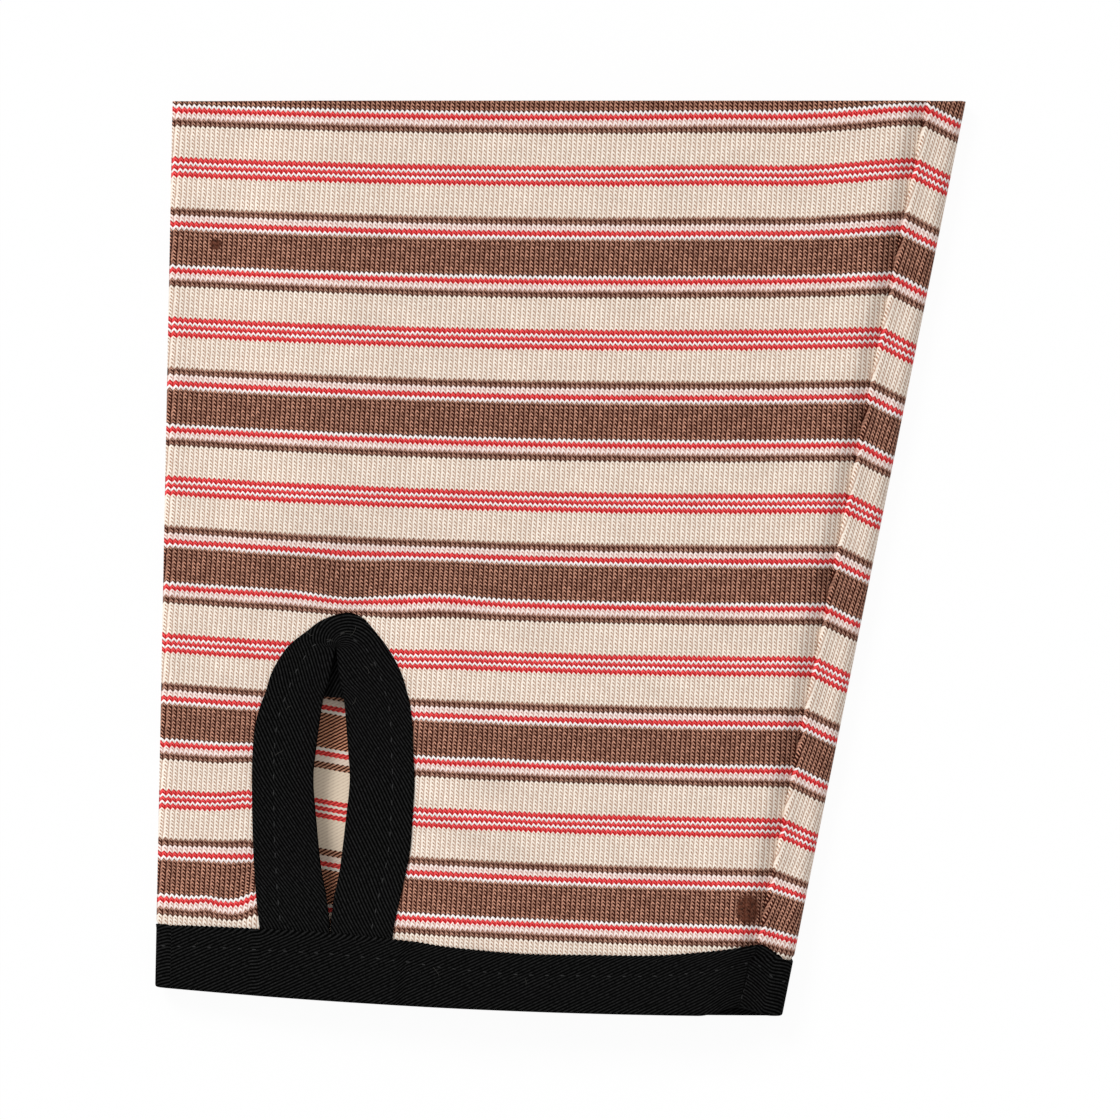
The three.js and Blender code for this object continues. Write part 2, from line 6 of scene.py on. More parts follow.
import bpy
from bpy.props import FloatProperty, FloatVectorProperty, IntProperty, PointerProperty
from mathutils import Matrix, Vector


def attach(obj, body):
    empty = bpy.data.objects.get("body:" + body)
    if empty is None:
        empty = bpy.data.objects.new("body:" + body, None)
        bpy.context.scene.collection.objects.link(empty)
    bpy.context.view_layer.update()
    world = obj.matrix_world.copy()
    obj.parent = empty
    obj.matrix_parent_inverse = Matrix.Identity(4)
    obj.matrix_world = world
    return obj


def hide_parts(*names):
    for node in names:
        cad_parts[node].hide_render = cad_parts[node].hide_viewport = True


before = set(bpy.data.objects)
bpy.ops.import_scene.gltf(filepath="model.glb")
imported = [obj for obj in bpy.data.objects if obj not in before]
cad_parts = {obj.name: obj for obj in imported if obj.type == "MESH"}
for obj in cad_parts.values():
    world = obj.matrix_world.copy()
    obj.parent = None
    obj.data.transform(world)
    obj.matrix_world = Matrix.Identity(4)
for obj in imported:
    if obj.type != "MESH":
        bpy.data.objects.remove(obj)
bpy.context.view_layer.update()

bl_info = {
    "name": "Striped jersey cuff",
    "version": (1, 0, 0),
    "blender": (4, 5, 0),
    "location": "View3D > Sidebar > Cuff",
    "description": "Makes the cloth, bindings, sewing and stage of a striped jersey sleeve cuff",
    "category": "Object",
}

MM = 0.001

# Outline as it lies flat, in millimetres, as in the frame
CUT_WIDTH = 142.9
HEM_WIDTH = 112.9
CUFF_LENGTH = 164.7
HEM_DROP = 5.2
FOLD_LEAN = 3.1
THREAD_STACK = 0.48
CUT_Y = CUFF_LENGTH / 2
OVERALL_WIDTH = THREAD_STACK + FOLD_LEAN + CUT_WIDTH

# Jersey tube
JERSEY = 0.7
PLAIN_RADIUS = 1.6
SEAM_RADIUS = 2.3
PLAIN_SLOPE = 28
SEAM_SLOPE = 9.5
FRONT_HEIGHT = 7.9
HEM_HEIGHT = 9.19
HEM_LIFT = 1.63
BINDING_OUTSIDE = 1.15

# Side seam
SEAM_FROM_FOLD = 7.1
ALLOWANCE = 3.9
TRIMMED_ALLOWANCE = 3
SEAM_STEP = 0.85
GROOVE_RUN = 3.2
GROOVE_DEPTH = 1.2

# Keyhole
KEYHOLE_FROM_FOLD = 31.55
KEYHOLE_RISE = 70
DART_RISE = 63.4
OPENING_WIDTH = 6.5
KEYHOLE_HALF_WIDTH = 14.5
DART_LEAN = 1
CLOSED_GAP = 0.12
EDGE_INSET = 0.8
DART_FOOT = 54.7
WEB_LAP = 1.2
WEB_DROP = 1.04
SLIT_REACH = 26
SLIT_END = 1.2
SLIT_CLOSING = 14

# The front layer sinks round the open keyhole
KEYHOLE_SAG = 3
SAG_HEM_SHARE = 0.75
SAG_FLAT = 3
SAG_REACH = 24
SAG_FADE = 24

# Bindings, folded double
PLY = 0.25
FOLD_EDGE = 0.13
FOLD_RUN = 0.6
FOLD_SQUARE = 0.55
CREASE = 0.22
CREASE_INSET = 0.75
CREASE_RUN = 0.13
PLY_STEP = 0.27
INNER_PLY = 0.52
OUTER_PLY = INNER_PLY + PLY_STEP
TURN_IN = 5
TOPSTITCH_INSET = 3.8
HEM_BINDING_WIDTH = 10.7
WIDEST_BINDING = 12.1
BINDING_EASE = 14
SIDE_BINDING = 11.3
SEAM_BINDING = 9.7
SIDE_EASE = 1.2
SIDE_FULLNESS = 1.3
LEG_SWELL = 0.62
SWELL_RUN = 1.8
SWELL_NEAR = 0.2
SWELL_FAR = 0.5
SCALLOP = 0.24
INNER_PUFF = 0.16
OUTER_PUFF = 0.06
STITCH_DIMPLE = 0.1
DIMPLE_REACH = 0.45

# Section of a binding: its points round the crease's rim, midway, and round the stitches
RIM_MARKS = (0.12, 0, -0.12)
MIDWAY = 1.9
STITCH_MARKS = (0.8, 0.3, 0, -0.3, -0.8)

# Keyhole's binding, in shares: where along it the right shoulder's crease starts and ends, and
# where across it the ribs are counted
CREASE_SHARES = (0.5, 0.515, 0.6, 0.66)
RIB_LINE = 0.6

# Turns round the hem between which its top edge passes to and from the plain back
BACK_TURNS = (1.5, 1.9, 3.1, 3.5)

# Join of the hem binding's two ends
JOIN_FROM_FOLD = 8.3
JOIN_LEAN = 0.084
JOIN_GROOVE = 0.16
JOIN_REACH = 0.28
JOIN_FOOT = 1.2
JOIN_HEAD = 6.8
JOIN_STITCH = 1.4
JOIN_SINK = 0.22
JOIN_LIFT = 0.09

# Sewing thread: how deep it lies and is pulled in, its height in the middle of a stitch, points
# to a stitch, and the least distance of the keyhole's row from the hem binding
THREAD_SINK = 0.1
STITCH_PULL = 0.18
STITCH_HEIGHT = 0.17
STITCH_STEPS = 8
STITCH_CLEAR = 0.3

# Overlock on the seam allowance
OVERLOCK_START = 20
OVERLOCK_END = 0.6
OVERLOCK_STITCH = 2.6
NEEDLE_FROM_SEAM = 0.5
LOOPER_FROM_SEAM = 1
LOOPER_INSET = 0.13
LOOPER_GAP = 0.25
LOOP_DROP = 0.1

# Mouth of the hem beside the seam
MOUTH_FROM_FOLD = 8.2
MOUTH_HALF_WIDTH = 7
MOUTH_LIFT = 1.6
MOUTH_FADE = 30

# Knit: 28 wales to 25 mm, 45 courses to a repeat of 29 mm
WALE = 0.891
COURSE = 0.645
REPEAT = 45
WALE_LEAN = math.radians(3.8)

# Narrow strip between the seam and the sewn fold: slope of its wales at the top and at the hem,
# and the height up to which it changes, then the same of its courses. The back's courses slope
# a little on both sides of the keyhole
STRIP_LEAN = 0.12
STRIP_FOOT_LEAN = 0.32
STRIP_TURN = 74
STRIP_FALL = 0.45
STRIP_FOOT_FALL = 0.22
STRIP_FALL_RUN = 42
BACK_FALL = 0.12
BACK_FALL_REACH = 14

# Courses over the front: place of the first, the field that they sag in, then a least-squares
# fit to the stripes' places in the photograph: sag in millimetres at the field's edge, even,
# tilted, arched and skewed, and how much of each the hem adds
FIRST_COURSE = 83.25
FIELD_MIDDLE = 16.35
FIELD_HALF = 84.6
FIELD_TOP = 82.5
FIELD_RUN = 162
SAG_LEVEL = -0.51
SAG_TILT = -0.88
SAG_ARCH = -1.99
SAG_SKEW = 0.15
HEM_LEVEL = 4.41
HEM_EASE = -3.64
HEM_TILT = 3.67
HEM_ARCH = -0.61

# Keyhole stations, foot to dart, as in the frame: height share of the folded edge, width of
# the opening, then height and reach of the outer edge on the left leg and on the right leg
KEYHOLE_SHARES = (
    (0, 0, 0, 0.821, 0, 0.69),
    (0.184, 0, 0.159, 0.866, 0.171, 0.772),
    (0.219, 0.03, 0.191, 0.883, 0.211, 0.804),
    (0.292, 0.2, 0.254, 0.914, 0.276, 0.871),
    (0.355, 0.46, 0.312, 0.933, 0.34, 0.939),
    (0.422, 0.633, 0.368, 0.948, 0.405, 0.992),
    (0.514, 0.82, 0.458, 0.96, 0.49, 1.019),
    (0.623, 1, 0.549, 0.964, 0.574, 1.039),
    (0.706, 0.885, 0.624, 0.955, 0.646, 1.026),
    (0.778, 0.74, 0.689, 0.925, 0.704, 1.019),
    (0.834, 0.62, 0.744, 0.86, 0.747, 1),
    (0.866, 0.51, 0.783, 0.79, 0.78, 0.975),
    (0.883, 0.42, 0.818, 0.743, 0.809, 0.938),
    (0.904, 0.31, 0.845, 0.69, 0.838, 0.9),
    (0.95, 0.14, 0.881, 0.59, 0.873, 0.83),
    (1, 0, 0.909, 0.488, 0.919, 0.697),
)
HEAD_SHARES = ((0.944, -0.293), (0.978, -0.085), (1, 0.203), (0.989, 0.399), (0.96, 0.535))

# Top edge of the hem binding: share of the hem's width, height above the hem's edge
HEM_TOPS = (
    (-0.1, 11.3), (0, 11.3), (0.08, 11.8), (0.16, 12.1), (0.28, 12.3), (0.41, 11.7), (0.45, 11.2),
    (0.52, 10.7), (0.6, 10.4), (0.7, 10.6), (0.8, 10.8), (0.87, 11.5), (0.92, 12.2), (0.95, 12.8),
    (0.963, 12.9), (0.975, 12.4), (0.99, 11.3), (1.01, 10.1), (1.1, 9.4),
)

# Ridges in the front layer: place as shares, lean in degrees, then length, width, height
RIDGES = (
    (0.09, 0.115, 18, 0.075, 0.022, 0.0021),
    (0.66, 0.21, -38, 0.13, 0.04, 0.003),
    (0.57, 0.3, -30, 0.11, 0.035, 0.0024),
    (0.465, 0.275, -65, 0.055, 0.014, 0.0075),
    (0.475, 0.205, -65, 0.075, 0.014, 0.0075),
)

# Dark places where the stitches don't show, painted shade of a dimple beside the seam and a dark fleck
# near the cut: middle, then reach each way
SHADE_AND_FLECK_PLACES = ((33.9, -63.1, 2.3, 2.9), (-61.9, 56.6, 1.1, 1.1))

# Where sewing pulls the courses up or down: place, reach each way, and the pull
PULLS = (
    (-55.5, -46, 4.2, 11, 1.25),
    (-62.5, -50, 4.5, 7, 0.5),
    (-63.5, -62.4, 1.6, 2.4, 0.55),
    (-54, -61.5, 2.6, 5, 1.9),
    (64, 66, 9, 34, 0.45),
    (43, 76, 10, 20, -0.38),
    (-38.2, -5, 6, 4.5, -1),
    (-22, -6, 8, 5, 0.55),
    (-28, -13, 6, 8, -0.4),
)


def lerp(start, end, share):
    return start + (end - start) * share


def clamp(value, low=0.0, high=1.0):
    return min(max(value, low), high)


def smooth(value, low, high):
    share = clamp((value - low) / (high - low))
    return share * share * (3 - 2 * share)


def spread(start, end, count):
    """Even steps from start to end, both included."""
    return [lerp(start, end, i / count) for i in range(count + 1)]


def through(table, at):
    """Smooth value of a table of (place, value) pairs at a place."""
    last = len(table) - 2
    i = next((k for k in range(1, len(table)) if table[k][0] >= at), last + 1) - 1
    i = int(clamp(i, 0, last))
    p0, p1, p2, p3 = (table[int(clamp(k, 0, last + 1))] for k in (i - 1, i, i + 1, i + 2))
    share = clamp((at - p1[0]) / (p2[0] - p1[0]))
    run = p2[0] - p1[0]
    m1 = (p2[1] - p0[1]) / max(p2[0] - p0[0], 1e-6) * run
    m2 = (p3[1] - p1[1]) / max(p3[0] - p1[0], 1e-6) * run
    s2, s3 = share * share, share ** 3
    return (
        (2 * s3 - 3 * s2 + 1) * p1[1] + (s3 - 2 * s2 + share) * m1
        + (3 * s2 - 2 * s3) * p2[1] + (s3 - s2) * m2
    )


# Outline of the lying tube
def left_fold_x(rise):
    return THREAD_STACK + FOLD_LEAN * rise - OVERALL_WIDTH / 2


def tube_width(rise):
    return lerp(HEM_WIDTH, CUT_WIDTH, rise)


def hem_y(share):
    return HEM_DROP * (1 - share) ** 2 - CUFF_LENGTH / 2


def mouth_shift(from_seam_fold, height):
    """The hem's mouth opens beside the seam: the front's edge is drawn up there."""
    off = abs(from_seam_fold - MOUTH_FROM_FOLD) / MOUTH_HALF_WIDTH
    across = math.cos(off * math.pi / 2) ** 2 if off < 1 else 0
    return MOUTH_LIFT * across * (1 - smooth(height, 0, MOUTH_FADE))


def place(from_fold, z, rise, on_front):
    """Point of the tube: distance from the plain fold, height over the table, share of the length."""
    width = tube_width(rise)
    edge = hem_y(from_fold / width)
    height = rise * (CUT_Y - edge)
    shift = mouth_shift(width - from_fold, height) if on_front else 0
    return Vector((left_fold_x(rise) + from_fold, edge + height + shift, z))


def binding_share(rise):
    """1 inside the hem binding, then fading to 0 above it."""
    return 1 - smooth(rise * CUFF_LENGTH, WIDEST_BINDING, WIDEST_BINDING + BINDING_EASE)


def side_depth(rise, top=SIDE_BINDING):
    """From the outline to the middle of the cloth at a fold: more inside the hem binding."""
    bound = 1 - smooth(rise * CUFF_LENGTH, top, top + SIDE_EASE)
    return lerp(JERSEY / 2, BINDING_OUTSIDE, bound)


def back_z(rise):
    return lerp(JERSEY / 2, HEM_LIFT, binding_share(rise))


def ridge_height(from_fold, rise):
    """Soft folds in the lying cloth, each a leaning mound."""
    total = 0
    for across, up, lean, length, width, height in RIDGES:
        dx = from_fold - across * tube_width(rise)
        dy = (rise - up) * CUFF_LENGTH
        turn = math.radians(lean)
        along = dx * math.sin(turn) + dy * math.cos(turn)
        aside = dx * math.cos(turn) - dy * math.sin(turn)
        span, half = length * CUFF_LENGTH, width * CUFF_LENGTH
        total += height * CUFF_LENGTH * math.exp(-((along / span) ** 2) - (aside / half) ** 2)
    return total * (1 - binding_share(rise))


KEYHOLE_X = left_fold_x(0) + KEYHOLE_FROM_FOLD


def sag_depth(from_fold, rise):
    """How far the front sinks round the open keyhole."""
    off = abs(left_fold_x(rise) + from_fold - KEYHOLE_X)
    above = smooth(rise * CUFF_LENGTH, KEYHOLE_RISE, KEYHOLE_RISE + SAG_FADE)
    depth = KEYHOLE_SAG * lerp(1, SAG_HEM_SHARE, binding_share(rise))
    return depth * (1 - above) * (1 - smooth(off, SAG_FLAT, SAG_REACH))


def front_z(from_fold, rise):
    """Middle of the front layer above the table."""
    crown = lerp(FRONT_HEIGHT, HEM_HEIGHT, binding_share(rise))
    plain_top = back_z(rise) + 2 * PLAIN_RADIUS
    seam_top = back_z(rise) + 2 * SEAM_RADIUS
    plain_run = from_fold - side_depth(rise) - PLAIN_RADIUS
    seam_run = tube_width(rise) - from_fold - side_depth(rise, SEAM_BINDING) - SEAM_RADIUS
    plain_drop = (crown - plain_top) * (1 - smooth(plain_run, 0, PLAIN_SLOPE))
    seam_drop = (crown - seam_top) * (1 - smooth(seam_run, 0, SEAM_SLOPE))
    level = crown - plain_drop - seam_drop
    return level + ridge_height(from_fold, rise) - sag_depth(from_fold, rise)


def front_z_over(x, y):
    """The same over a point in plan, whose place on the tube is found in a few rounds."""
    share, rise = 0.5, 0.5
    for _ in range(8):
        rise = (y - hem_y(share)) / (CUT_Y - hem_y(share))
        share = (x - left_fold_x(rise)) / tube_width(rise)
    return front_z(share * tube_width(rise), rise)


def around_tube(turn, rise):
    """Turns round the tube: 0 to 1 front, 1 to 2 sewn fold, 2 to 3 back, 3 to 4 plain fold."""
    start = side_depth(rise) + PLAIN_RADIUS
    end = tube_width(rise) - side_depth(rise, SEAM_BINDING) - SEAM_RADIUS
    zone = min(int(turn), 3)
    share = turn - zone
    if zone == 0:
        x = lerp(start, end, share)
        slope = (front_z(x + JERSEY, rise) - front_z(x - JERSEY, rise)) / (2 * JERSEY)
        length = math.hypot(slope, 1)
        return x, front_z(x, rise), -slope / length, 1 / length
    if zone == 2:
        return lerp(end, start, share), back_z(rise), 0, -1
    radius = SEAM_RADIUS if zone == 1 else PLAIN_RADIUS
    angle = (0.5 - share) * math.pi if zone == 1 else (-0.5 - share) * math.pi
    x = (end if zone == 1 else start) + radius * math.cos(angle)
    z = back_z(rise) + radius + radius * math.sin(angle)
    return x, z, math.cos(angle), math.sin(angle)


# Keyhole in plan
def plan_point(x, height):
    return Vector((x, hem_y((x - left_fold_x(0)) / HEM_WIDTH) + height))


def head_point(reach, up):
    """Place on the binding's outer edge from its shares of the half width and the height."""
    return plan_point(KEYHOLE_X + reach * KEYHOLE_HALF_WIDTH, lerp(EDGE_INSET, KEYHOLE_RISE, up))


def opening_half(height):
    """Half the width of the keyhole's opening at a height."""
    shares = [(lerp(EDGE_INSET, DART_RISE, row[0]), row[1]) for row in KEYHOLE_SHARES]
    share = clamp(through(shares, height)) if height > shares[1][0] else 0
    return CLOSED_GAP / 2 + share * (OPENING_WIDTH - CLOSED_GAP) / 2


def keyhole_middle(height):
    return KEYHOLE_X + DART_LEAN * clamp((height - EDGE_INSET) / (DART_RISE - EDGE_INSET)) ** 3


def keyhole_stations():
    """Folded edge and outer edge in plan, up the left leg, round the head and down the right."""
    left, right = [], []
    for edge, opened, left_up, left_reach, right_up, right_reach in KEYHOLE_SHARES:
        height = lerp(EDGE_INSET, DART_RISE, edge)
        middle = keyhole_middle(height)
        half = CLOSED_GAP / 2 + opened * (OPENING_WIDTH - CLOSED_GAP) / 2
        left.append((
            plan_point(middle - half, height),
            head_point(-left_reach, left_up),
        ))
        right.insert(0, (
            plan_point(middle + half, height),
            head_point(right_reach, right_up),
        ))
    dart_top = plan_point(KEYHOLE_X + DART_LEAN, DART_RISE)
    head = []
    for up, reach in HEAD_SHARES:
        outer = head_point(reach, up)
        head.append((dart_top + (outer - dart_top).normalized() * CLOSED_GAP / 2, outer))
    return left + head + right


def smoothed(points, steps):
    """Catmull-Rom points between the given ones."""
    made = []
    for i in range(len(points) - 1):
        p0, p1, p2, p3 = (points[int(clamp(k, 0, len(points) - 1))] for k in (i - 1, i, i + 1, i + 2))
        for k in range(steps):
            t = k / steps
            made.append((
                2 * p1 + (p2 - p0) * t + (2 * p0 - 5 * p1 + 4 * p2 - p3) * t * t
                + (3 * p1 - p0 - 3 * p2 + p3) * t ** 3
            ) / 2)
    return made + [points[-1]]


def keyhole_edges():
    """Smooth folded edge and outer edge of the keyhole's binding."""
    stations = keyhole_stations()
    return smoothed([fold for fold, _ in stations], 5), smoothed([edge for _, edge in stations], 5)


# Course and wale counts: where the stripes run on each part of the tube
def front_courses(x, y):
    across = (x - FIELD_MIDDLE) / FIELD_HALF
    down = (FIELD_TOP - y) / FIELD_RUN
    sag = SAG_LEVEL + SAG_TILT * across + SAG_ARCH * across ** 2 + SAG_SKEW * across ** 3
    sag += (HEM_LEVEL + HEM_EASE * down + HEM_TILT * across + HEM_ARCH * across ** 2) * down
    for at_x, at_y, reach_x, reach_y, pull in PULLS:
        sag -= pull * math.exp(-(((x - at_x) / reach_x) ** 2) - ((y - at_y) / reach_y) ** 2)
    return (FIRST_COURSE - y - sag) / COURSE


def seam_x(y):
    """Place of the side seam at a height."""
    rise = clamp((y + CUT_Y) / CUFF_LENGTH)
    return left_fold_x(rise) + tube_width(rise) - SEAM_FROM_FOLD


def strip_courses(x, y):
    seam = seam_x(y)
    fall = lerp(STRIP_FOOT_FALL, STRIP_FALL, smooth(y + CUT_Y, 0, STRIP_FALL_RUN))
    return front_courses(seam, y) - fall * (x - seam) / COURSE


def back_courses(x, y):
    """The back carries on the stripes of the front at one fold and of the strip at the other."""
    rise = clamp((y + CUT_Y) / CUFF_LENGTH)
    left = left_fold_x(rise)
    right = left + tube_width(rise)
    off = x - KEYHOLE_X
    fall = BACK_FALL * off * math.exp(-((off / BACK_FALL_REACH) ** 2)) / COURSE
    share = clamp((x - left) / (right - left))
    return lerp(front_courses(left, y), strip_courses(right, y), share) - fall


def front_wales(x, y):
    return (x * math.cos(WALE_LEAN) - y * math.sin(WALE_LEAN)) / WALE


def strip_wales(x, y):
    """The wales of the narrow strip cross the seam: a little, and more towards the hem."""
    height = y + CUT_Y
    near_foot = max(0, 1 - height / STRIP_TURN)
    gained = STRIP_LEAN * height - (STRIP_FOOT_LEAN - STRIP_LEAN) * STRIP_TURN * near_foot ** 3 / 3
    return (x - seam_x(y) - gained) / WALE


# Nodes and colours
def linear(code):
    """sRGB hex to a linear colour."""
    parts = [int(code[i:i + 2], 16) / 255 for i in (1, 3, 5)]
    return tuple(p / 12.92 if p <= 0.04045 else ((p + 0.055) / 1.055) ** 2.4 for p in parts)


def add_node(tree, kind, feeds=None, **settings):
    """Adds a node, sets its properties, and feeds its inputs with values, outputs or whole nodes."""
    made = tree.nodes.new(kind)
    for name, value in settings.items():
        setattr(made, name, value)
    for socket, value in (feeds or {}).items():
        if isinstance(value, bpy.types.Node):
            value = value.outputs[0]
        if isinstance(value, bpy.types.NodeSocket):
            tree.links.new(value, made.inputs[socket])
        else:
            made.inputs[socket].default_value = value
    return made


MATH = "ShaderNodeMath"
MIX = "ShaderNodeMix"
RANGE = "ShaderNodeMapRange"
NOISE = "ShaderNodeTexNoise"
VECTOR = "ShaderNodeVectorMath"


def new_material(name):
    material = bpy.data.materials.new(name)
    material.use_nodes = True
    material.node_tree.nodes.clear()
    return material, material.node_tree


def matt_surface(tree, shade, height, relief, rough, gloss, strength=1.0):
    """Cloth and thread scatter light from their fibres, so they are rough and hardly glossy."""
    bump = add_node(tree, "ShaderNodeBump", {
        "Height": height, "Strength": strength, "Distance": relief * MM,
    })
    shader = add_node(tree, "ShaderNodeBsdfPrincipled", {
        "Base Color": shade, "Normal": bump, "Roughness": rough, "Specular IOR Level": gloss,
    })
    add_node(tree, "ShaderNodeOutputMaterial", {"Surface": shader})


def stripe_ramp(tree, rows, colours):
    """Colour of each course in the repeat, from the middle of one wide band to the next. The
    single red courses are a little fuller than the others."""
    brown, thin, cream, pink, white, red = colours
    plan = (
        (5, brown), (1, white), (1.3, red), (1.8, pink), (2, thin), (8.8, cream), (1.3, red),
        (0.8, white), (1.2, red), (0.8, white), (1.3, red), (8.8, cream), (2, thin), (1.8, pink),
        (1.3, red), (1, white), (5, brown),
    )
    total = sum(count for count, _ in plan)
    ramp = add_node(tree, "ShaderNodeValToRGB", {"Fac": rows})
    ramp.color_ramp.interpolation = "CONSTANT"
    stops = ramp.color_ramp.elements
    at = 0
    for i, (count, colour) in enumerate(plan):
        stop = stops[i] if i < 1 else stops.new(at / total)
        stop.position = at / total
        stop.color = colour
        at += count
    stops.remove(stops[len(stops) - 1])
    return ramp


def painted_lit_colours(knit):
    """Painted lit copy of each yarn, lighter than the yarn itself, with its fullness of light as
    alpha.
    """
    return (
        (*knit.brown, 0.0), (*knit.thin_brown, 0.1), (*knit.cream, 1.0), (*knit.pink, 1.0),
        (*knit.white, 1.0), (*knit.red, 0.75),
    )


def painted_shade_colours(knit):
    """Painted shade of each yarn where it lies in the hollows: light bounces there and comes back
    deeper in hue.
    """
    return (
        (*knit.brown_painted_shade, 1), (*knit.thin_brown_painted_shade, 1), (*knit.cream_painted_shade, 1),
        (*knit.pink_painted_shade, 1), (*knit.white_painted_shade, 1), (*knit.red_painted_shade, 1),
    )


def striped(tree, rows, light, knit, dark, pale):
    """Painted light and shade of the striped yarn, from its shaded hollows to its lit legs, and the
    light that it takes. Contrast is a power of that light, and the dark yarn's is higher than the pale
    yarn's."""
    share = add_node(tree, MATH, {0: rows, 1: REPEAT}, operation="DIVIDE")
    share = add_node(tree, MATH, {0: share}, operation="FRACT")
    lit = stripe_ramp(tree, share, painted_lit_colours(knit))
    hollow = stripe_ramp(tree, share, painted_shade_colours(knit))
    power = add_node(tree, MATH, {
        0: lit.outputs["Alpha"], 1: pale - dark, 2: dark,
    }, operation="MULTIPLY_ADD")
    light = add_node(tree, MATH, {0: light, 1: power}, operation="POWER", use_clamp=True)
    # Painted shade in the hollows, painted light on the legs, mixed by the light that each place takes
    shade = add_node(tree, MIX, {0: light, 6: hollow, 7: lit}, data_type="RGBA").outputs[2]
    return shade, light


def knit_material(knit):
    """Single jersey of combed cotton, face side: columns of small legs that meet in a point. The
    left leg of each stitch is nearly unbroken, the right one a short stroke, and the hollows
    between them are dark: painted light and shade, as from a light at the upper left."""
    material, tree = new_material("Combed cotton single jersey, face")
    uv = add_node(tree, "ShaderNodeUVMap", uv_map="Wales and courses")
    wander = add_node(tree, NOISE, {"Vector": uv, "Scale": 0.45, "Detail": 2.0, "Roughness": 0.6})
    wander = add_node(tree, VECTOR, {
        0: wander.outputs["Color"], 1: (0.5, 0.5, 0.5),
    }, operation="SUBTRACT")
    wander = add_node(tree, VECTOR, {
        0: wander, 1: (0.3, knit.wander, 0.0), 2: uv,
    }, operation="MULTIPLY_ADD")
    split = add_node(tree, "ShaderNodeSeparateXYZ", {"Vector": wander})
    wales, courses = split.outputs["X"], split.outputs["Y"]
    across = add_node(tree, MATH, {0: wales}, operation="FRACT")

    # The point of a stitch stands left of the middle of its wale
    apex = knit.apex
    rising = add_node(tree, MATH, {0: across, 1: apex}, operation="DIVIDE")
    falling = add_node(tree, MATH, {
        0: across, 1: 1 / (apex - 1), 2: 1 / (1 - apex),
    }, operation="MULTIPLY_ADD")
    point = add_node(tree, MATH, {0: rising, 1: falling}, operation="MINIMUM")
    rows = add_node(tree, MATH, {0: point, 1: knit.point, 2: courses}, operation="MULTIPLY_ADD")
    rows = add_node(tree, MATH, {0: rows, 1: knit.point / 2}, operation="SUBTRACT")

    # Painted light: how much light each place of a stitch takes, mixed into its colour and used for
    # its bump
    course = add_node(tree, MATH, {0: rows, 1: 0.5}, operation="PINGPONG")
    left = add_node(tree, RANGE, {"Value": course, "From Max": 0.5, "To Min": 0.48, "To Max": 0.73})
    right = add_node(tree, RANGE, {
        "Value": course, "From Min": 0.12, "From Max": 0.5, "To Min": 0.08, "To Max": 1.0,
    }, interpolation_type="SMOOTHSTEP")
    which = add_node(tree, RANGE, {
        "Value": across, "From Min": apex - 0.06, "From Max": apex + 0.1,
    }, interpolation_type="SMOOTHSTEP")
    light = add_node(tree, MIX, {0: which, 2: left, 3: right}, data_type="FLOAT")
    beside = add_node(tree, RANGE, {
        "Value": across, "From Max": 0.08, "To Min": 0.05, "To Max": 1.0,
    }, interpolation_type="SMOOTHSTEP")
    between = add_node(tree, RANGE, {
        "Value": across, "From Min": 0.66, "From Max": 1.0, "To Min": 1.0, "To Max": 0.05,
    }, interpolation_type="SMOOTHSTEP")
    light = add_node(tree, MATH, {0: light, 1: beside}, operation="MULTIPLY")
    light = add_node(tree, MATH, {0: light, 1: between}, operation="MULTIPLY")
    from_eye = add_node(tree, MATH, {0: across, 1: apex + 0.12}, operation="SUBTRACT")
    from_eye = add_node(tree, MATH, {0: from_eye}, operation="ABSOLUTE")
    eye = add_node(tree, RANGE, {
        "Value": from_eye, "From Max": 0.18, "To Min": 0.48, "To Max": 0.0,
    }, interpolation_type="SMOOTHSTEP")
    under = add_node(tree, RANGE, {
        "Value": course, "From Max": 0.3, "To Min": 1.0, "To Max": 0.0,
    }, interpolation_type="SMOOTHSTEP")
    eye = add_node(tree, MATH, {0: eye, 1: under}, operation="MULTIPLY")
    light = add_node(tree, MATH, {0: light, 1: eye}, operation="SUBTRACT")

    # Yarn is uneven: each stitch is a little lighter or darker, and so are whole patches
    stitch = add_node(tree, "ShaderNodeCombineXYZ", {"X": wales, "Y": rows})
    stitch = add_node(tree, VECTOR, {0: stitch}, operation="FLOOR")
    uneven = add_node(tree, "ShaderNodeTexWhiteNoise", {"Vector": stitch}, noise_dimensions="2D")
    uneven = add_node(tree, RANGE, {
        "Value": uneven.outputs["Value"], "To Min": 1 - knit.uneven, "To Max": 1 + knit.uneven,
    })
    light = add_node(tree, MATH, {0: light, 1: uneven}, operation="MULTIPLY")
    light = add_node(tree, MATH, {0: light, 1: 0.0}, operation="MAXIMUM")
    shade, light = striped(tree, rows, light, knit, knit.dark_power, knit.pale_power)
    fuzz = add_node(tree, NOISE, {"Vector": uv, "Scale": 0.13, "Detail": 4.0, "Roughness": 0.6})
    tone = add_node(tree, RANGE, {
        "Value": fuzz, "From Min": 0.3, "From Max": 0.7, "To Min": 0.94, "To Max": 1.04,
    })
    shade = add_node(tree, VECTOR, {0: shade, "Scale": tone}, operation="SCALE")
    # Painted shade of a dimple beside the seam, and a dark fleck near the cut
    shade = shade_and_fleck_patches(tree, shade, knit)
    matt_surface(tree, shade, light, knit.relief, rough=0.9, gloss=0.06)
    return material


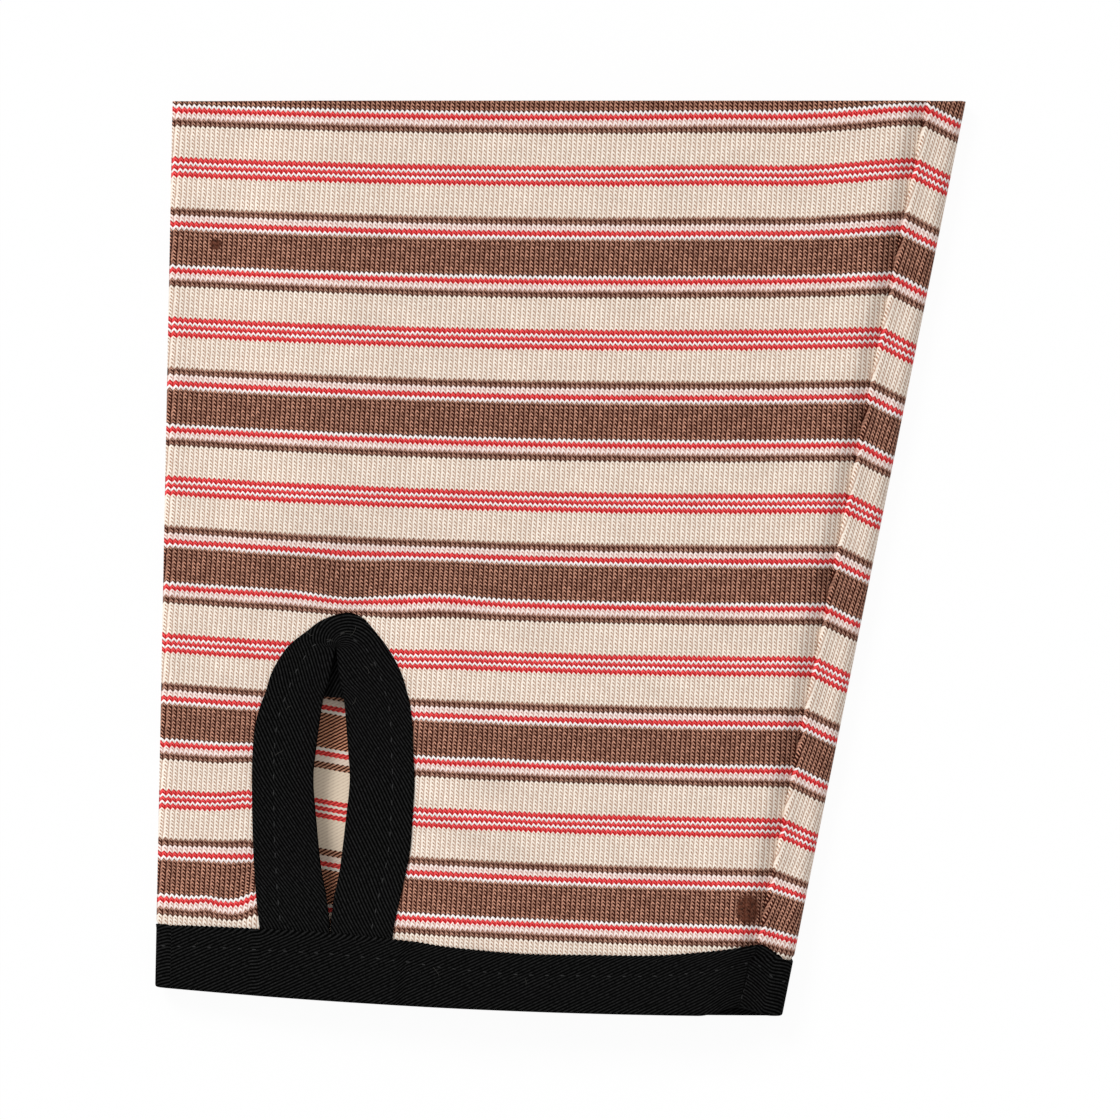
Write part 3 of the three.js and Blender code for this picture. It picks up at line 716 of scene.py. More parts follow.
def shade_and_fleck_patches(tree, shade, knit):
    """Small dark places where the stitches don't show: beside the seam, painted shade of a dimple;
    near the cut, a dark fleck in the yarn.
    """
    coordinates = add_node(tree, "ShaderNodeTexCoord")
    hairs = add_node(tree, NOISE, {
        "Vector": coordinates.outputs["Object"], "Scale": 1 / (0.5 * MM), "Detail": 3.0,
        "Roughness": 0.7,
    })
    shade_and_fleck = add_node(tree, RANGE, {"Value": hairs, "From Min": 0.35, "From Max": 0.65})
    # Mottled colour of both places: painted shade by the seam, the fleck's own colour near the cut
    shade_and_fleck = add_node(tree, MIX, {
        0: shade_and_fleck, 6: (*knit.shade_and_fleck_deep, 1), 7: (*knit.shade_and_fleck, 1),
    }, data_type="RGBA").outputs[2]
    for x, y, reach_x, reach_y in SHADE_AND_FLECK_PLACES:
        away = add_node(tree, VECTOR, {
            0: coordinates.outputs["Object"], 1: (x * MM, y * MM, 0),
        }, operation="SUBTRACT")
        away = add_node(tree, VECTOR, {
            0: away, 1: (1 / (reach_x * MM), 1 / (reach_y * MM), 0),
        }, operation="MULTIPLY")
        away = add_node(tree, VECTOR, {0: away}, operation="LENGTH").outputs["Value"]
        away = add_node(tree, MATH, {0: hairs, 1: 0.9, 2: away}, operation="MULTIPLY_ADD")
        # Painted shade of the dimple, and the fleck, fading out at their edges
        shade_and_fleck_mask = add_node(tree, RANGE, {
            "Value": away, "From Min": 1.2, "From Max": 1.55, "To Min": 0.9, "To Max": 0.0,
        }, interpolation_type="SMOOTHSTEP")
        shade = add_node(tree, MIX, {0: shade_and_fleck_mask, 6: shade, 7: shade_and_fleck}, data_type="RGBA").outputs[2]
    return shade


def purl_material(knit):
    """The same jersey from inside the tube: rows of small arcs, crossed by slanting floats, with
    painted light on the floats and painted shade between the rows.
    """
    material, tree = new_material("Combed cotton single jersey, wrong side")
    uv = add_node(tree, "ShaderNodeUVMap", uv_map="Wales and courses")
    split = add_node(tree, "ShaderNodeSeparateXYZ", {"Vector": uv})
    wales, courses = split.outputs["X"], split.outputs["Y"]
    turn = add_node(tree, MATH, {0: wales, 1: math.tau}, operation="MULTIPLY")
    arc = add_node(tree, MATH, {0: turn}, operation="SINE")
    rows = add_node(tree, MATH, {0: arc, 1: 0.14, 2: courses}, operation="MULTIPLY_ADD")
    slant = add_node(tree, MATH, {0: courses, 1: -1.0, 2: wales}, operation="MULTIPLY_ADD")
    slant = add_node(tree, MATH, {0: slant, 1: 0.5}, operation="PINGPONG")
    light = add_node(tree, RANGE, {
        "Value": slant, "From Min": 0.0, "From Max": 0.4, "To Min": 0.2, "To Max": 0.95,
    }, interpolation_type="SMOOTHSTEP")
    course = add_node(tree, MATH, {0: rows, 1: 0.5}, operation="PINGPONG")
    light = add_node(tree, MATH, {0: course, 1: 0.5, 2: light}, operation="MULTIPLY_ADD")
    # Painted light and shade inside: brown takes more contrast and the pale yarn less, so the pale
    # yarn is painted lighter
    dark, pale = 3 * knit.dark_power, 0.6 * knit.pale_power
    shade, light = striped(tree, rows, light, knit, dark, pale)
    # Painted warm light, as bounced round inside the tube, multiplied over the wrong side
    shade = add_node(tree, MIX, {
        0: 1.0, 6: shade, 7: (*knit.inside, 1),
    }, data_type="RGBA", blend_type="MULTIPLY").outputs[2]
    matt_surface(tree, shade, light, knit.relief, rough=0.95, gloss=0.06)
    return material


def twill_material(name, twill):
    """Black cotton twill: close slanting ribs, matt, with painted light on the ribs' tops and painted
    shade between them.
    """
    material, tree = new_material(name)
    uv = add_node(tree, "ShaderNodeUVMap", uv_map="Ribs and length")
    split = add_node(tree, "ShaderNodeSeparateXYZ", {"Vector": uv})
    ribs, length = split.outputs["X"], split.outputs["Y"]
    wave = add_node(tree, MATH, {0: ribs, 1: 0.5}, operation="PINGPONG")
    rib = add_node(tree, RANGE, {
        "Value": wave, "From Min": 0.12, "From Max": 0.5, "To Min": 0.0, "To Max": 1.0,
    }, interpolation_type="SMOOTHSTEP")
    floats = add_node(tree, MATH, {0: ribs, 1: 0.5, 2: length}, operation="MULTIPLY_ADD")
    floats = add_node(tree, MATH, {0: floats, 1: 0.5}, operation="PINGPONG")
    height = add_node(tree, MATH, {0: floats, 1: 0.6, 2: rib}, operation="MULTIPLY_ADD")
    patches = add_node(tree, NOISE, {"Vector": uv, "Scale": 0.9, "Detail": 4.0, "Roughness": 0.8})
    patches = add_node(tree, RANGE, {
        "Value": patches, "From Min": 0.32, "From Max": 0.68, "To Min": 0.1, "To Max": 1.0,
    })
    shown = add_node(tree, MATH, {0: rib, 1: patches}, operation="MULTIPLY")
    # Painted light on the ribs' tops and painted shade between them, stronger in patches
    shade = add_node(tree, MIX, {
        0: shown, 6: (*twill.rib_gap_painted_shade, 1), 7: (*twill.rib_painted_light, 1),
    }, data_type="RGBA").outputs[2]
    dust = add_node(tree, NOISE, {"Vector": uv, "Scale": 1.9, "Detail": 2.0, "Roughness": 0.9})
    speck = add_node(tree, RANGE, {
        "Value": dust, "From Min": 0.67, "From Max": 0.8, "To Min": 0.0, "To Max": 0.8,
    }, interpolation_type="SMOOTHSTEP")
    shade = add_node(tree, MIX, {
        0: speck, 6: shade, 7: (*twill.speck_colour, 1),
    }, data_type="RGBA").outputs[2]
    matt_surface(tree, shade, height, twill.relief, rough=0.9, gloss=0.01)
    return material


def thread_material(name, colour, rough):
    """Spun thread or fibre: light and dark turns of its twist, the dark turns painted shade between
    the plies, with a faint sheen.
    """
    material, tree = new_material(name)
    place_on = add_node(tree, "ShaderNodeTexCoord")
    twist = add_node(tree, "ShaderNodeTexWave", {
        "Vector": place_on.outputs["Object"], "Scale": 1600.0, "Distortion": 1.5, "Detail": 1.0,
    }, wave_type="BANDS", bands_direction="DIAGONAL")
    # Painted shade on the dark turns of the twist
    shade = add_node(tree, MIX, {
        0: twist, 6: (*[c * 0.55 for c in colour], 1), 7: (*colour, 1),
    }, data_type="RGBA").outputs[2]
    matt_surface(tree, shade, twist, relief=0.04, rough=rough, gloss=0.2, strength=0.6)
    return material


# Sizes and colours that a user would change
def colour_property(name, description, code):
    return FloatVectorProperty(
        name=name, description=description, default=linear(code), subtype="COLOR", size=3, min=0, max=1
    )


def number_property(name, description, default, **settings):
    return FloatProperty(name=name, description=description, default=default, **settings)


class CuffKnit(bpy.types.PropertyGroup):
    """Look of the jersey."""

    # Yarn colours: painted lit copies of each yarn, lighter than the yarn itself
    brown: colour_property("Brown", "Yarn of the wide bands", "#ebad92")
    thin_brown: colour_property("Thin brown", "Yarn of the two-course lines", "#d6a28c")
    cream: colour_property("Cream", "Ground yarn", "#fff6e9")
    pink: colour_property("Shell", "Yarn beside the red lines", "#fff4ee")
    white: colour_property("White", "Single white courses", "#ffffff")
    red: colour_property("Red", "Single red courses", "#ff5c5d")
    # Hollow colours: painted shade of each yarn between the legs of its stitches
    brown_painted_shade: colour_property("Brown hollow", "Depth between brown legs", "#2c0701")
    thin_brown_painted_shade: colour_property("Thin brown hollow", "Depth between thin brown legs", "#341006")
    cream_painted_shade: colour_property("Cream hollow", "Depth between cream legs", "#a98067")
    pink_painted_shade: colour_property("Shell hollow", "Depth between shell legs", "#b88070")
    white_painted_shade: colour_property("White hollow", "Depth between white legs", "#c4a092")
    red_painted_shade: colour_property("Red hollow", "Depth between red legs", "#a00a10")
    # Patch colours: painted shade of a dimple beside the seam, and a dark fleck's own colour
    shade_and_fleck: colour_property("Dark patch", "Painted shade of a dimple, and a dark fleck", "#6a3c2c")
    shade_and_fleck_deep: colour_property("Felt hollow", "Darker fibres in the same places", "#1d0703")
    # Painted warm light bounced round inside the tube
    inside: colour_property("Inside", "Painted warm light inside the tube", "#fff4e6")
    point: number_property("Point", "Rise of a stitch's point, in courses", 0.8)
    apex: number_property("Apex", "Place of the point in its wale", 0.4, subtype="FACTOR")
    wander: number_property("Wander", "Unevenness of the courses, in courses", 0.5)
    uneven: number_property("Uneven", "Light and dark stitches", 0.16, subtype="FACTOR")
    dark_power: number_property("Dark contrast", "Contrast of brown yarn", 2.0)
    pale_power: number_property("Pale contrast", "Contrast of cream yarn", 0.5)
    relief: number_property("Relief", "Height of a stitch, in millimetres", 0.06)


class CuffTwill(bpy.types.PropertyGroup):
    """Look of the bindings."""

    # Painted light on the ribs' tops and painted shade between the ribs
    rib_painted_light: colour_property("Rib", "Tops of the twill ribs", "#2d2d2d")
    rib_gap_painted_shade: colour_property("Between ribs", "Depth between the ribs", "#020202")
    speck_colour: colour_property("Specks", "Dust on the ribs", "#565652")
    rib_pitch: number_property("Rib pitch", "Distance of the ribs, in millimetres", 0.54)
    relief: number_property("Relief", "Height of a rib, in millimetres", 0.05)
    keyhole_lean: number_property("Keyhole lean", "Lean of the ribs, in degrees", -30)
    hem_lean: number_property("Hem lean", "Lean of the ribs, in degrees", 28)


class CuffSewing(bpy.types.PropertyGroup):
    """Look of the sewing."""

    dark: colour_property("Topstitching", "Thread on the bindings", "#2b2b2b")
    pale: colour_property("Overlock", "Thread on the seam allowance", "#dccbb6")
    pitch: number_property("Stitch", "Length of a topstitch, in millimetres", 2.8)
    radius: number_property("Thread radius", "In millimetres", 0.13)
    lint: colour_property("Lint", "Loose fibres on the bindings", "#504e4a")
    lint_radius: number_property("Lint radius", "In millimetres", 0.025)
    fibres: IntProperty(name="Fibres", description="Number of loose fibres", default=20)


class CuffStage(bpy.types.PropertyGroup):
    """Floor, light and camera."""

    distance: number_property("Camera height", "Above the cuff", 3.4, unit="LENGTH")
    view_width: number_property("Frame width", "Width seen", 0.2016, unit="LENGTH")
    sky: number_property("Soft light", "Light from all round", 0.66)
    sun: number_property("Window light", "Light from the upper left", 0.42)


# Making and finishing pieces
SMOOTH_ANGLE = math.radians(60)


def strip_mesh(name, rows, uvs, uv_name, looped=False, skip=None, shared=None):
    """Mesh of a grid of points in millimetres, with its own map. skip names the column after
    which no faces are made, and shared the rows from which its two sides are one."""
    count = len(rows[0])
    points = [tuple(c * MM for c in p) for row in rows for p in row]

    def index(row, column):
        if skip is not None and column == skip + 1 and row >= shared:
            column = skip
        return row * count + column

    faces, corners = [], []
    for r in range(len(rows) if looped else len(rows) - 1):
        for c in range(count - 1):
            if c == skip:
                continue
            cells = [(r, c), (r, c + 1), (r + 1, c + 1), (r + 1, c)]
            faces.append([index(row % len(rows), column) for row, column in cells])
            corners.extend(uvs[row][column] for row, column in cells)
    mesh = bpy.data.meshes.new(name)
    mesh.from_pydata(points, [], faces)
    layer = mesh.uv_layers.new(name=uv_name)
    for i, corner in enumerate(corners):
        layer.data[i].uv = corner
    made = bpy.data.objects.new(name, mesh)
    bpy.context.scene.collection.objects.link(made)
    select_only(made)
    bpy.ops.object.mode_set(mode="EDIT")
    bpy.ops.mesh.select_all(action="SELECT")
    bpy.ops.mesh.delete_loose()
    bpy.ops.object.mode_set(mode="OBJECT")
    return made


def select_only(piece):
    bpy.ops.object.select_all(action="DESELECT")
    bpy.context.view_layer.objects.active = piece
    piece.select_set(True)


def thicken(piece, thickness, inside=0):
    select_only(piece)
    wall = piece.modifiers.new("Cloth", "SOLIDIFY")
    wall.thickness = thickness * MM
    wall.offset = 0
    wall.material_offset = inside
    wall.material_offset_rim = 0
    bpy.ops.object.modifier_apply(modifier=wall.name)
    bpy.ops.object.mode_set(mode="EDIT")
    bpy.ops.mesh.select_all(action="SELECT")
    bpy.ops.mesh.normals_make_consistent(inside=False)
    bpy.ops.object.mode_set(mode="OBJECT")
    bpy.ops.object.shade_smooth_by_angle(angle=SMOOTH_ANGLE)


def settle(piece, slot, *nodes):
    """Puts a finished piece on the cuff in place of its frame nodes."""
    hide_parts(*nodes)
    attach(piece, "root")
    return piece


# Jersey panel: its rows up to the slit's end, then the columns of its grid: turned allowance,
# last before the sewn fold, those left of the slit that move with it, and those on which the
# plain fold evens out the wales
SLIT_ROWS = 50
ALLOWANCE_COLUMNS = 4
STRIP_LAST = 15
SLIT_COLUMNS = 28
FOLD_COLUMNS = 7


def panel_line(rise):
    """One row of the panel, from allowance to allowance: distance from the plain fold, height and
    part of the tube at each point."""
    width = tube_width(rise)
    seam = width - SEAM_FROM_FOLD
    radius = SEAM_STEP / 2
    turn_x = seam + JERSEY / 2 + radius
    tip = seam + lerp(ALLOWANCE, TRIMMED_ALLOWANCE, binding_share(rise))
    line = [(x, front_z(x, rise) - SEAM_STEP, "strip") for x in spread(tip, turn_x, 4)]
    turn_z = front_z(turn_x, rise) - radius
    for share in spread(0, 1, 5)[1:-1]:
        angle = (-0.5 - share) * math.pi
        line.append((turn_x + radius * math.cos(angle), turn_z + radius * math.sin(angle), "strip"))
    fold = width - side_depth(rise, SEAM_BINDING) - SEAM_RADIUS
    line += [(x, front_z(x, rise), "strip") for x in spread(turn_x, fold, 6)]
    for share in spread(0, 1, 12)[1:]:
        x, z, _, _ = around_tube(1 + share, rise)
        line.append((x, z, "strip" if share <= 0.5 else "back"))
    for share in spread(0, 1, 60)[1:-1]:
        x, z, _, _ = around_tube(2 + share, rise)
        line.append((x, z, "back"))
    for share in spread(0, 1, 12):
        x, z, _, _ = around_tube(3 + share, rise)
        line.append((x, z, "back" if share < 0.5 else "front"))
    start = side_depth(rise) + PLAIN_RADIUS
    split = KEYHOLE_FROM_FOLD + (left_fold_x(0) - left_fold_x(rise))
    groove = seam - JERSEY / 2 - GROOVE_RUN
    line += [(x, front_z(x, rise), "front") for x in spread(start, split, 26)[1:]]
    line.append((split, front_z(split, rise), "slit"))
    line += [(x, front_z(x, rise), "front") for x in spread(split, groove, 62)[1:]]
    for x in spread(groove, seam - JERSEY / 2, 8)[1:]:
        dip = GROOVE_DEPTH * smooth(x, groove, seam - JERSEY / 2)
        line.append((x, front_z(x, rise) - dip, "front"))
    line += [(x, front_z(x, rise) - 2 * SEAM_STEP, "front") for x in spread(seam + radius, tip, 4)]
    return line


def jersey_rises():
    """Rows of the panel from the hem to the cut, as shares of the length, one at the slit's end."""
    foot = EDGE_INSET / CUFF_LENGTH
    slit_top = (DART_RISE + EDGE_INSET) / (CUT_Y - hem_y(KEYHOLE_FROM_FOLD / HEM_WIDTH))
    return spread(foot, slit_top, SLIT_ROWS) + spread(slit_top, 1, 76)[1:]


def slit_push(x, y, side):
    """Cloth beside the slit is pushed outwards by the open keyhole."""
    height = y - hem_y((x - left_fold_x(0)) / HEM_WIDTH)
    closing = 1 - smooth(height, DART_RISE, DART_RISE + SLIT_CLOSING)
    half = opening_half(min(height, DART_RISE)) + EDGE_INSET
    half *= 1 - smooth(height, DART_RISE - SLIT_END, DART_RISE + EDGE_INSET)
    lean = (keyhole_middle(height) - KEYHOLE_X) * closing
    return (side * half + lean) * (1 - smooth(abs(x - KEYHOLE_X), 0, SLIT_REACH))


def make_jersey(knit):
    rows, uvs = [], []
    for rise in jersey_rises():
        line = panel_line(rise)
        parts = [part for _, _, part in line]
        slit = parts.index("slit")
        row, uv = [], []
        wales = 0
        for i, (x, z, part) in enumerate(line):
            point = place(x, z, rise, part != "back")
            if part in ("front", "slit") and i > slit - SLIT_COLUMNS:
                moved = slit_push(point.x, point.y, -1 if i < slit else 1)
                point.x += moved
                point.z = z + front_z_over(point.x, point.y) - front_z_over(point.x - moved, point.y)
            if part == "back" or (part == "strip" and i > STRIP_LAST):
                wales += math.hypot(x - line[i - 1][0], z - line[i - 1][1]) / WALE
            elif part == "strip":
                mirrored = i < ALLOWANCE_COLUMNS
                wales = strip_wales(2 * seam_x(point.y) - point.x if mirrored else point.x, point.y)
            else:
                wales = front_wales(point.x, point.y)
            courses = {"strip": strip_courses, "back": back_courses}.get(part, front_courses)
            row.append(point)
            uv.append((wales, courses(point.x, point.y)))
        rows.append(row)
        uvs.append(uv)

    # The back's count of wales starts at the sewn fold, and the plain fold takes up the rest
    first = parts.index("front")
    middle = uvs[len(rows) // 2]
    shift = round(middle[first][0] - middle[first - 1][0] - 0.5)
    low = first - FOLD_COLUMNS
    for uv in uvs:
        for i in range(first):
            uv[i] = (uv[i][0] + shift, uv[i][1])
        for i in range(low + 1, first):
            uv[i] = (lerp(uv[low][0], uv[first][0], (i - low) / FOLD_COLUMNS), uv[i][1])
    piece = strip_mesh("Jersey_tube", rows, uvs, "Wales and courses", skip=slit - 1, shared=SLIT_ROWS)
    piece.data.materials.append(knit_material(knit))
    piece.data.materials.append(purl_material(knit))
    thicken(piece, JERSEY, inside=1)
    return piece


# Bindings: a strip folded double, its raw edges turned in
def binding_line(width, swell_out=0, swell_in=0, crease=0, full=1):
    """Middle of the ply in section: distance from the centre fold, offset from the cloth, and
    distance along the strip. A crease lowers the upper ply's rim."""
    half_top = OUTER_PLY + swell_out
    half_low = OUTER_PLY + swell_in
    rim = width - CREASE_INSET
    radius = PLY_STEP / 2
    line = [(x, INNER_PLY + swell_out - crease) for x in spread(width - TURN_IN, width - radius, 4)]
    for share in spread(0, 1, 4)[1:-1]:
        angle = (share - 0.5) * math.pi
        line.append((
            width - radius + radius * math.cos(angle),
            INNER_PLY + swell_out + radius + radius * math.sin(angle) - crease,
        ))
    stitched = width - TOPSTITCH_INSET
    marks = [width - radius] + [rim + mark for mark in RIM_MARKS] + [width - MIDWAY]
    marks += [stitched + mark for mark in STITCH_MARKS]
    marks += spread(marks[-1], FOLD_RUN, 5)[1:]
    for x in marks:
        sunk = crease * smooth(x, rim - CREASE_RUN, rim + CREASE_RUN)
        line.append((x, half_top + full * puff(x, width) - sunk))
    middle, half = (half_top - half_low) / 2, (half_top + half_low) / 2
    for share in spread(1, -1, 12)[1:-1]:
        angle = share * math.pi / 2
        across = math.copysign(abs(math.sin(angle)) ** FOLD_SQUARE, share)
        back = math.cos(angle) ** FOLD_SQUARE
        line.append((FOLD_RUN - (FOLD_RUN - FOLD_EDGE) * back, middle + half * across))
    for x in spread(FOLD_RUN, width - radius, 9):
        line.append((x, -half_low - full * puff(x, width) * 0.5))
    for share in spread(0, 1, 4)[1:-1]:
        angle = (0.5 - share) * math.pi
        line.append((
            width - radius + radius * math.cos(angle),
            -INNER_PLY - swell_in - radius - radius * math.sin(angle),
        ))
    line += [(x, -INNER_PLY - swell_in) for x in spread(width - radius, width - TURN_IN, 4)]
    lengths = [0]
    for a, b in zip(line, line[1:]):
        lengths.append(lengths[-1] + math.hypot(b[0] - a[0], b[1] - a[1]))
    fold = lengths[line.index(min(line))]
    return [(inset, offset, length - fold) for (inset, offset), length in zip(line, lengths)]


def puff(x, width):
    """Pressed flat at the edges and along the stitches, a little full between them."""
    stitched = width - TOPSTITCH_INSET
    dimple = STITCH_DIMPLE * math.exp(-(((x - stitched) / DIMPLE_REACH) ** 2))
    if x < stitched:
        full = INNER_PUFF * math.sin(math.pi * clamp((x - FOLD_RUN) / (stitched - FOLD_RUN)))
    else:
        full = OUTER_PUFF * math.sin(math.pi * clamp((x - stitched) / (width - stitched)))
    return full - dimple


def rib_map(along, across, lean, pitch):
    """Map of the twill: count of ribs, and length along them in rib widths."""
    turn = math.radians(lean)
    return (
        (across * math.cos(turn) - along * math.sin(turn)) / pitch,
        (along * math.cos(turn) + across * math.sin(turn)) / pitch,
    )


def make_keyhole_binding(twill):
    inner, outer = keyhole_edges()
    start, sunk, rising, end = CREASE_SHARES
    rows, uvs = [], []
    along = 0
    before = None
    for i, (fold, edge) in enumerate(zip(inner, outer)):
        middle = fold.lerp(edge, RIB_LINE)
        along += (middle - before).length if before else 0
        before = middle
        share = i / (len(inner) - 1)
        crease = CREASE * smooth(share, start, sunk) * (1 - smooth(share, rising, end))
        across = (edge - fold).normalized()
        row, uv = [], []
        for inset, offset, spent in binding_line((edge - fold).length, crease=crease):
            plan = fold + across * inset
            row.append(Vector((plan.x, plan.y, front_z_over(plan.x, plan.y) + offset)))
            uv.append(rib_map(along, spent, twill.keyhole_lean, twill.rib_pitch))
        rows.append(row)
        uvs.append(uv)
    web = dart_web(twill)
    piece = strip_mesh("Keyhole_binding_cloth", rows, uvs, "Ribs and length")
    web.select_set(True)
    bpy.ops.object.join()
    piece.data.materials.append(twill_material("Black cotton twill, keyhole", twill))
    thicken(piece, PLY)
    return piece, along


def dart_web(twill):
    """Fold of the strip that closes the dart behind its two folded edges."""
    rows, uvs = [], []
    for height in spread(DART_FOOT, DART_RISE, 12):
        middle, half = keyhole_middle(height), opening_half(height) + WEB_LAP
        row = []
        for x in spread(middle - half, middle + half, 6):
            plan = plan_point(x, height)
            row.append(Vector((x, plan.y, front_z_over(x, plan.y) - WEB_DROP)))
        rows.append(row)
        uvs.append([rib_map(height, point.x, twill.hem_lean, twill.rib_pitch) for point in row])
    return strip_mesh("Dart_web", rows, uvs, "Ribs and length")


# Where the hem binding covers the feet of the keyhole's legs
LEGS_START = KEYHOLE_FROM_FOLD - KEYHOLE_SHARES[1][3] * KEYHOLE_HALF_WIDTH
LEGS_END = KEYHOLE_FROM_FOLD + KEYHOLE_SHARES[1][5] * KEYHOLE_HALF_WIDTH


def leg_swell(from_fold):
    up = smooth(from_fold, LEGS_START - SWELL_FAR - SWELL_RUN, LEGS_START - SWELL_NEAR)
    down = smooth(from_fold, LEGS_END + SWELL_NEAR, LEGS_END + SWELL_FAR + SWELL_RUN)
    return LEG_SWELL * (up - down)


def seam_swell(from_fold):
    seam = HEM_WIDTH - SEAM_FROM_FOLD
    up = smooth(from_fold, seam - GROOVE_RUN - JERSEY - SWELL_FAR, seam - JERSEY)
    down = smooth(from_fold, seam + TRIMMED_ALLOWANCE, HEM_WIDTH - BINDING_OUTSIDE)
    return 2 * SEAM_STEP * (up - down)


def hem_swells(turn, foot_x):
    """How far the hem binding stands off the cloth, outside and inside the tube."""
    outward = leg_swell(foot_x) if turn <= 1 else 0
    inward = max(outward, seam_swell(foot_x)) if turn < 1.5 else outward
    return outward, inward


def hem_top(turn):
    """Height of the hem binding's top edge."""
    rise = HEM_BINDING_WIDTH / CUFF_LENGTH
    top_x, _, out_x, _ = around_tube(turn % 4, rise)
    outside = top_x + out_x * OUTER_PLY * SIDE_FULLNESS
    share = (outside + left_fold_x(rise) - left_fold_x(0)) / HEM_WIDTH
    leave, behind_start, behind_end, back = BACK_TURNS
    behind = smooth(turn, leave, behind_start) * (1 - smooth(turn, behind_end, back))
    return lerp(through(HEM_TOPS, share), HEM_BINDING_WIDTH, behind)


def hem_place(turn, height, offset, top):
    """Point of the hem binding: turn round the tube, height above the hem's edge."""
    foot_x, _, _, _ = around_tube(turn, 0)
    share = foot_x / HEM_WIDTH
    rise = height / (CUT_Y - hem_y(share))
    x, z, out_x, out_z = around_tube(turn, rise)
    offset *= 1 + (SIDE_FULLNESS - 1) * abs(out_x)
    point = place(x + out_x * offset, z + out_z * offset, rise, False)
    if turn <= 1.5:
        point.y += mouth_shift(HEM_WIDTH - foot_x, 0) * (1 - clamp(height / top))
    return point


def hem_turns():
    """Places round the hem, close together over the front, where the edge has its scallops."""
    turns = [0]
    for zone, steps in enumerate((500, 16, 60, 12)):
        turns += spread(zone, zone + 1, steps)[1:]
    return turns


def make_hem_binding(twill):
    rows, uvs = [], []
    along = 0
    before = None
    join = HEM_WIDTH - JOIN_FROM_FOLD
    for turn in hem_turns():
        foot_x, foot_z, out_x, _ = around_tube(turn, 0)
        along += math.hypot(foot_x - before[0], foot_z - before[1]) if before else 0
        before = (foot_x, foot_z)
        top = hem_top(turn)
        wave = abs(math.sin(math.pi * (foot_x + left_fold_x(0)) / WALE)) if turn <= 1 else 0
        line = binding_line(top - SCALLOP * wave, *hem_swells(turn, foot_x), full=1 - abs(out_x))
        lean = -twill.hem_lean if foot_x > join and turn < 2 else twill.hem_lean
        row, uv = [], []
        for height, offset, spent in line:
            if turn <= 1 and offset > OUTER_PLY:
                away = foot_x - join - JOIN_LEAN * height
                offset -= JOIN_GROOVE * math.exp(-((away / JOIN_REACH) ** 2))
            row.append(hem_place(turn, height, offset, top))
            uv.append(rib_map(along, -spent, lean, twill.rib_pitch))
        rows.append(row)
        uvs.append(uv)
    piece = strip_mesh("Hem_binding_cloth", rows[:-1], uvs, "Ribs and length", looped=True)
    piece.data.materials.append(twill_material("Black cotton twill, hem", twill))
    thicken(piece, PLY)
    return piece, along


# Sewing
def thread_piece(name, routes, radius, material):
    """Round thread along each route of points, in millimetres."""
    curve = bpy.data.curves.new(name, "CURVE")
    curve.dimensions = "3D"
    curve.bevel_depth = radius * MM
    curve.bevel_resolution = 1
    curve.use_fill_caps = True
    for route in routes:
        spline = curve.splines.new("POLY")
        spline.points.add(len(route) - 1)
        for point, at in zip(spline.points, route):
            point.co = (*[c * MM for c in at], 1)
    made = bpy.data.objects.new(name, curve)
    bpy.context.scene.collection.objects.link(made)
    select_only(made)
    bpy.ops.object.convert(target="MESH")
    piece = bpy.context.view_layer.objects.active
    piece.data.materials.clear()
    piece.data.materials.append(material)
    bpy.ops.object.shade_smooth_by_angle(angle=SMOOTH_ANGLE)
    return piece


def stitch_lift(share):
    """Height profile of one stitch: tight in the cloth, with only its middle showing."""
    return STITCH_HEIGHT * math.sin(math.pi * share) ** 8 - STITCH_PULL


def stitch_points(points, pitch):
    """Even points on a route, a whole number of stitches long, with their stitch shares."""
    lengths = [0]
    for a, b in zip(points, points[1:]):
        lengths.append(lengths[-1] + (b - a).length)
    count = max(1, round(lengths[-1] / pitch)) * STITCH_STEPS
    made, k = [], 0
    for i in range(count + 1):
        at = lengths[-1] * i / count
        while k < len(lengths) - 2 and lengths[k + 1] < at:
            k += 1
        share = (at - lengths[k]) / max(lengths[k + 1] - lengths[k], 1e-9)
        made.append((points[k].lerp(points[k + 1], share), i % STITCH_STEPS / STITCH_STEPS))
    return made


def keyhole_stitch_route(side, pitch):
    """Along the binding's outer edge, from hem binding to hem binding: side is 1 above, -1 below."""
    plan = []
    for fold, edge in zip(*keyhole_edges()):
        at = edge + (fold - edge).normalized() * TOPSTITCH_INSET
        if at.y > plan_point(at.x, WIDEST_BINDING + STITCH_CLEAR).y:
            plan.append(at)
    route = []
    for at, share in stitch_points(plan, pitch):
        lift = OUTER_PLY + PLY / 2 - THREAD_SINK + stitch_lift(share)
        route.append(Vector((at.x, at.y, front_z_over(at.x, at.y) + side * lift)))
    return route


def hem_stitch_route(side, pitch):
    """Once round the hem, along the binding's top edge: side is 1 outside, -1 inside."""
    plan = []
    for step in spread(0, 4, 400):
        turn = step % 4
        foot_x, _, _, _ = around_tube(turn, 0)
        outward, inward = hem_swells(turn, foot_x)
        base = OUTER_PLY + PLY / 2 - THREAD_SINK + (outward if side > 0 else inward)
        top = hem_top(turn)
        plan.append(hem_place(turn, top - TOPSTITCH_INSET, side * base, top))
    return [at + Vector((0, 0, side * stitch_lift(share))) for at, share in stitch_points(plan, pitch)]


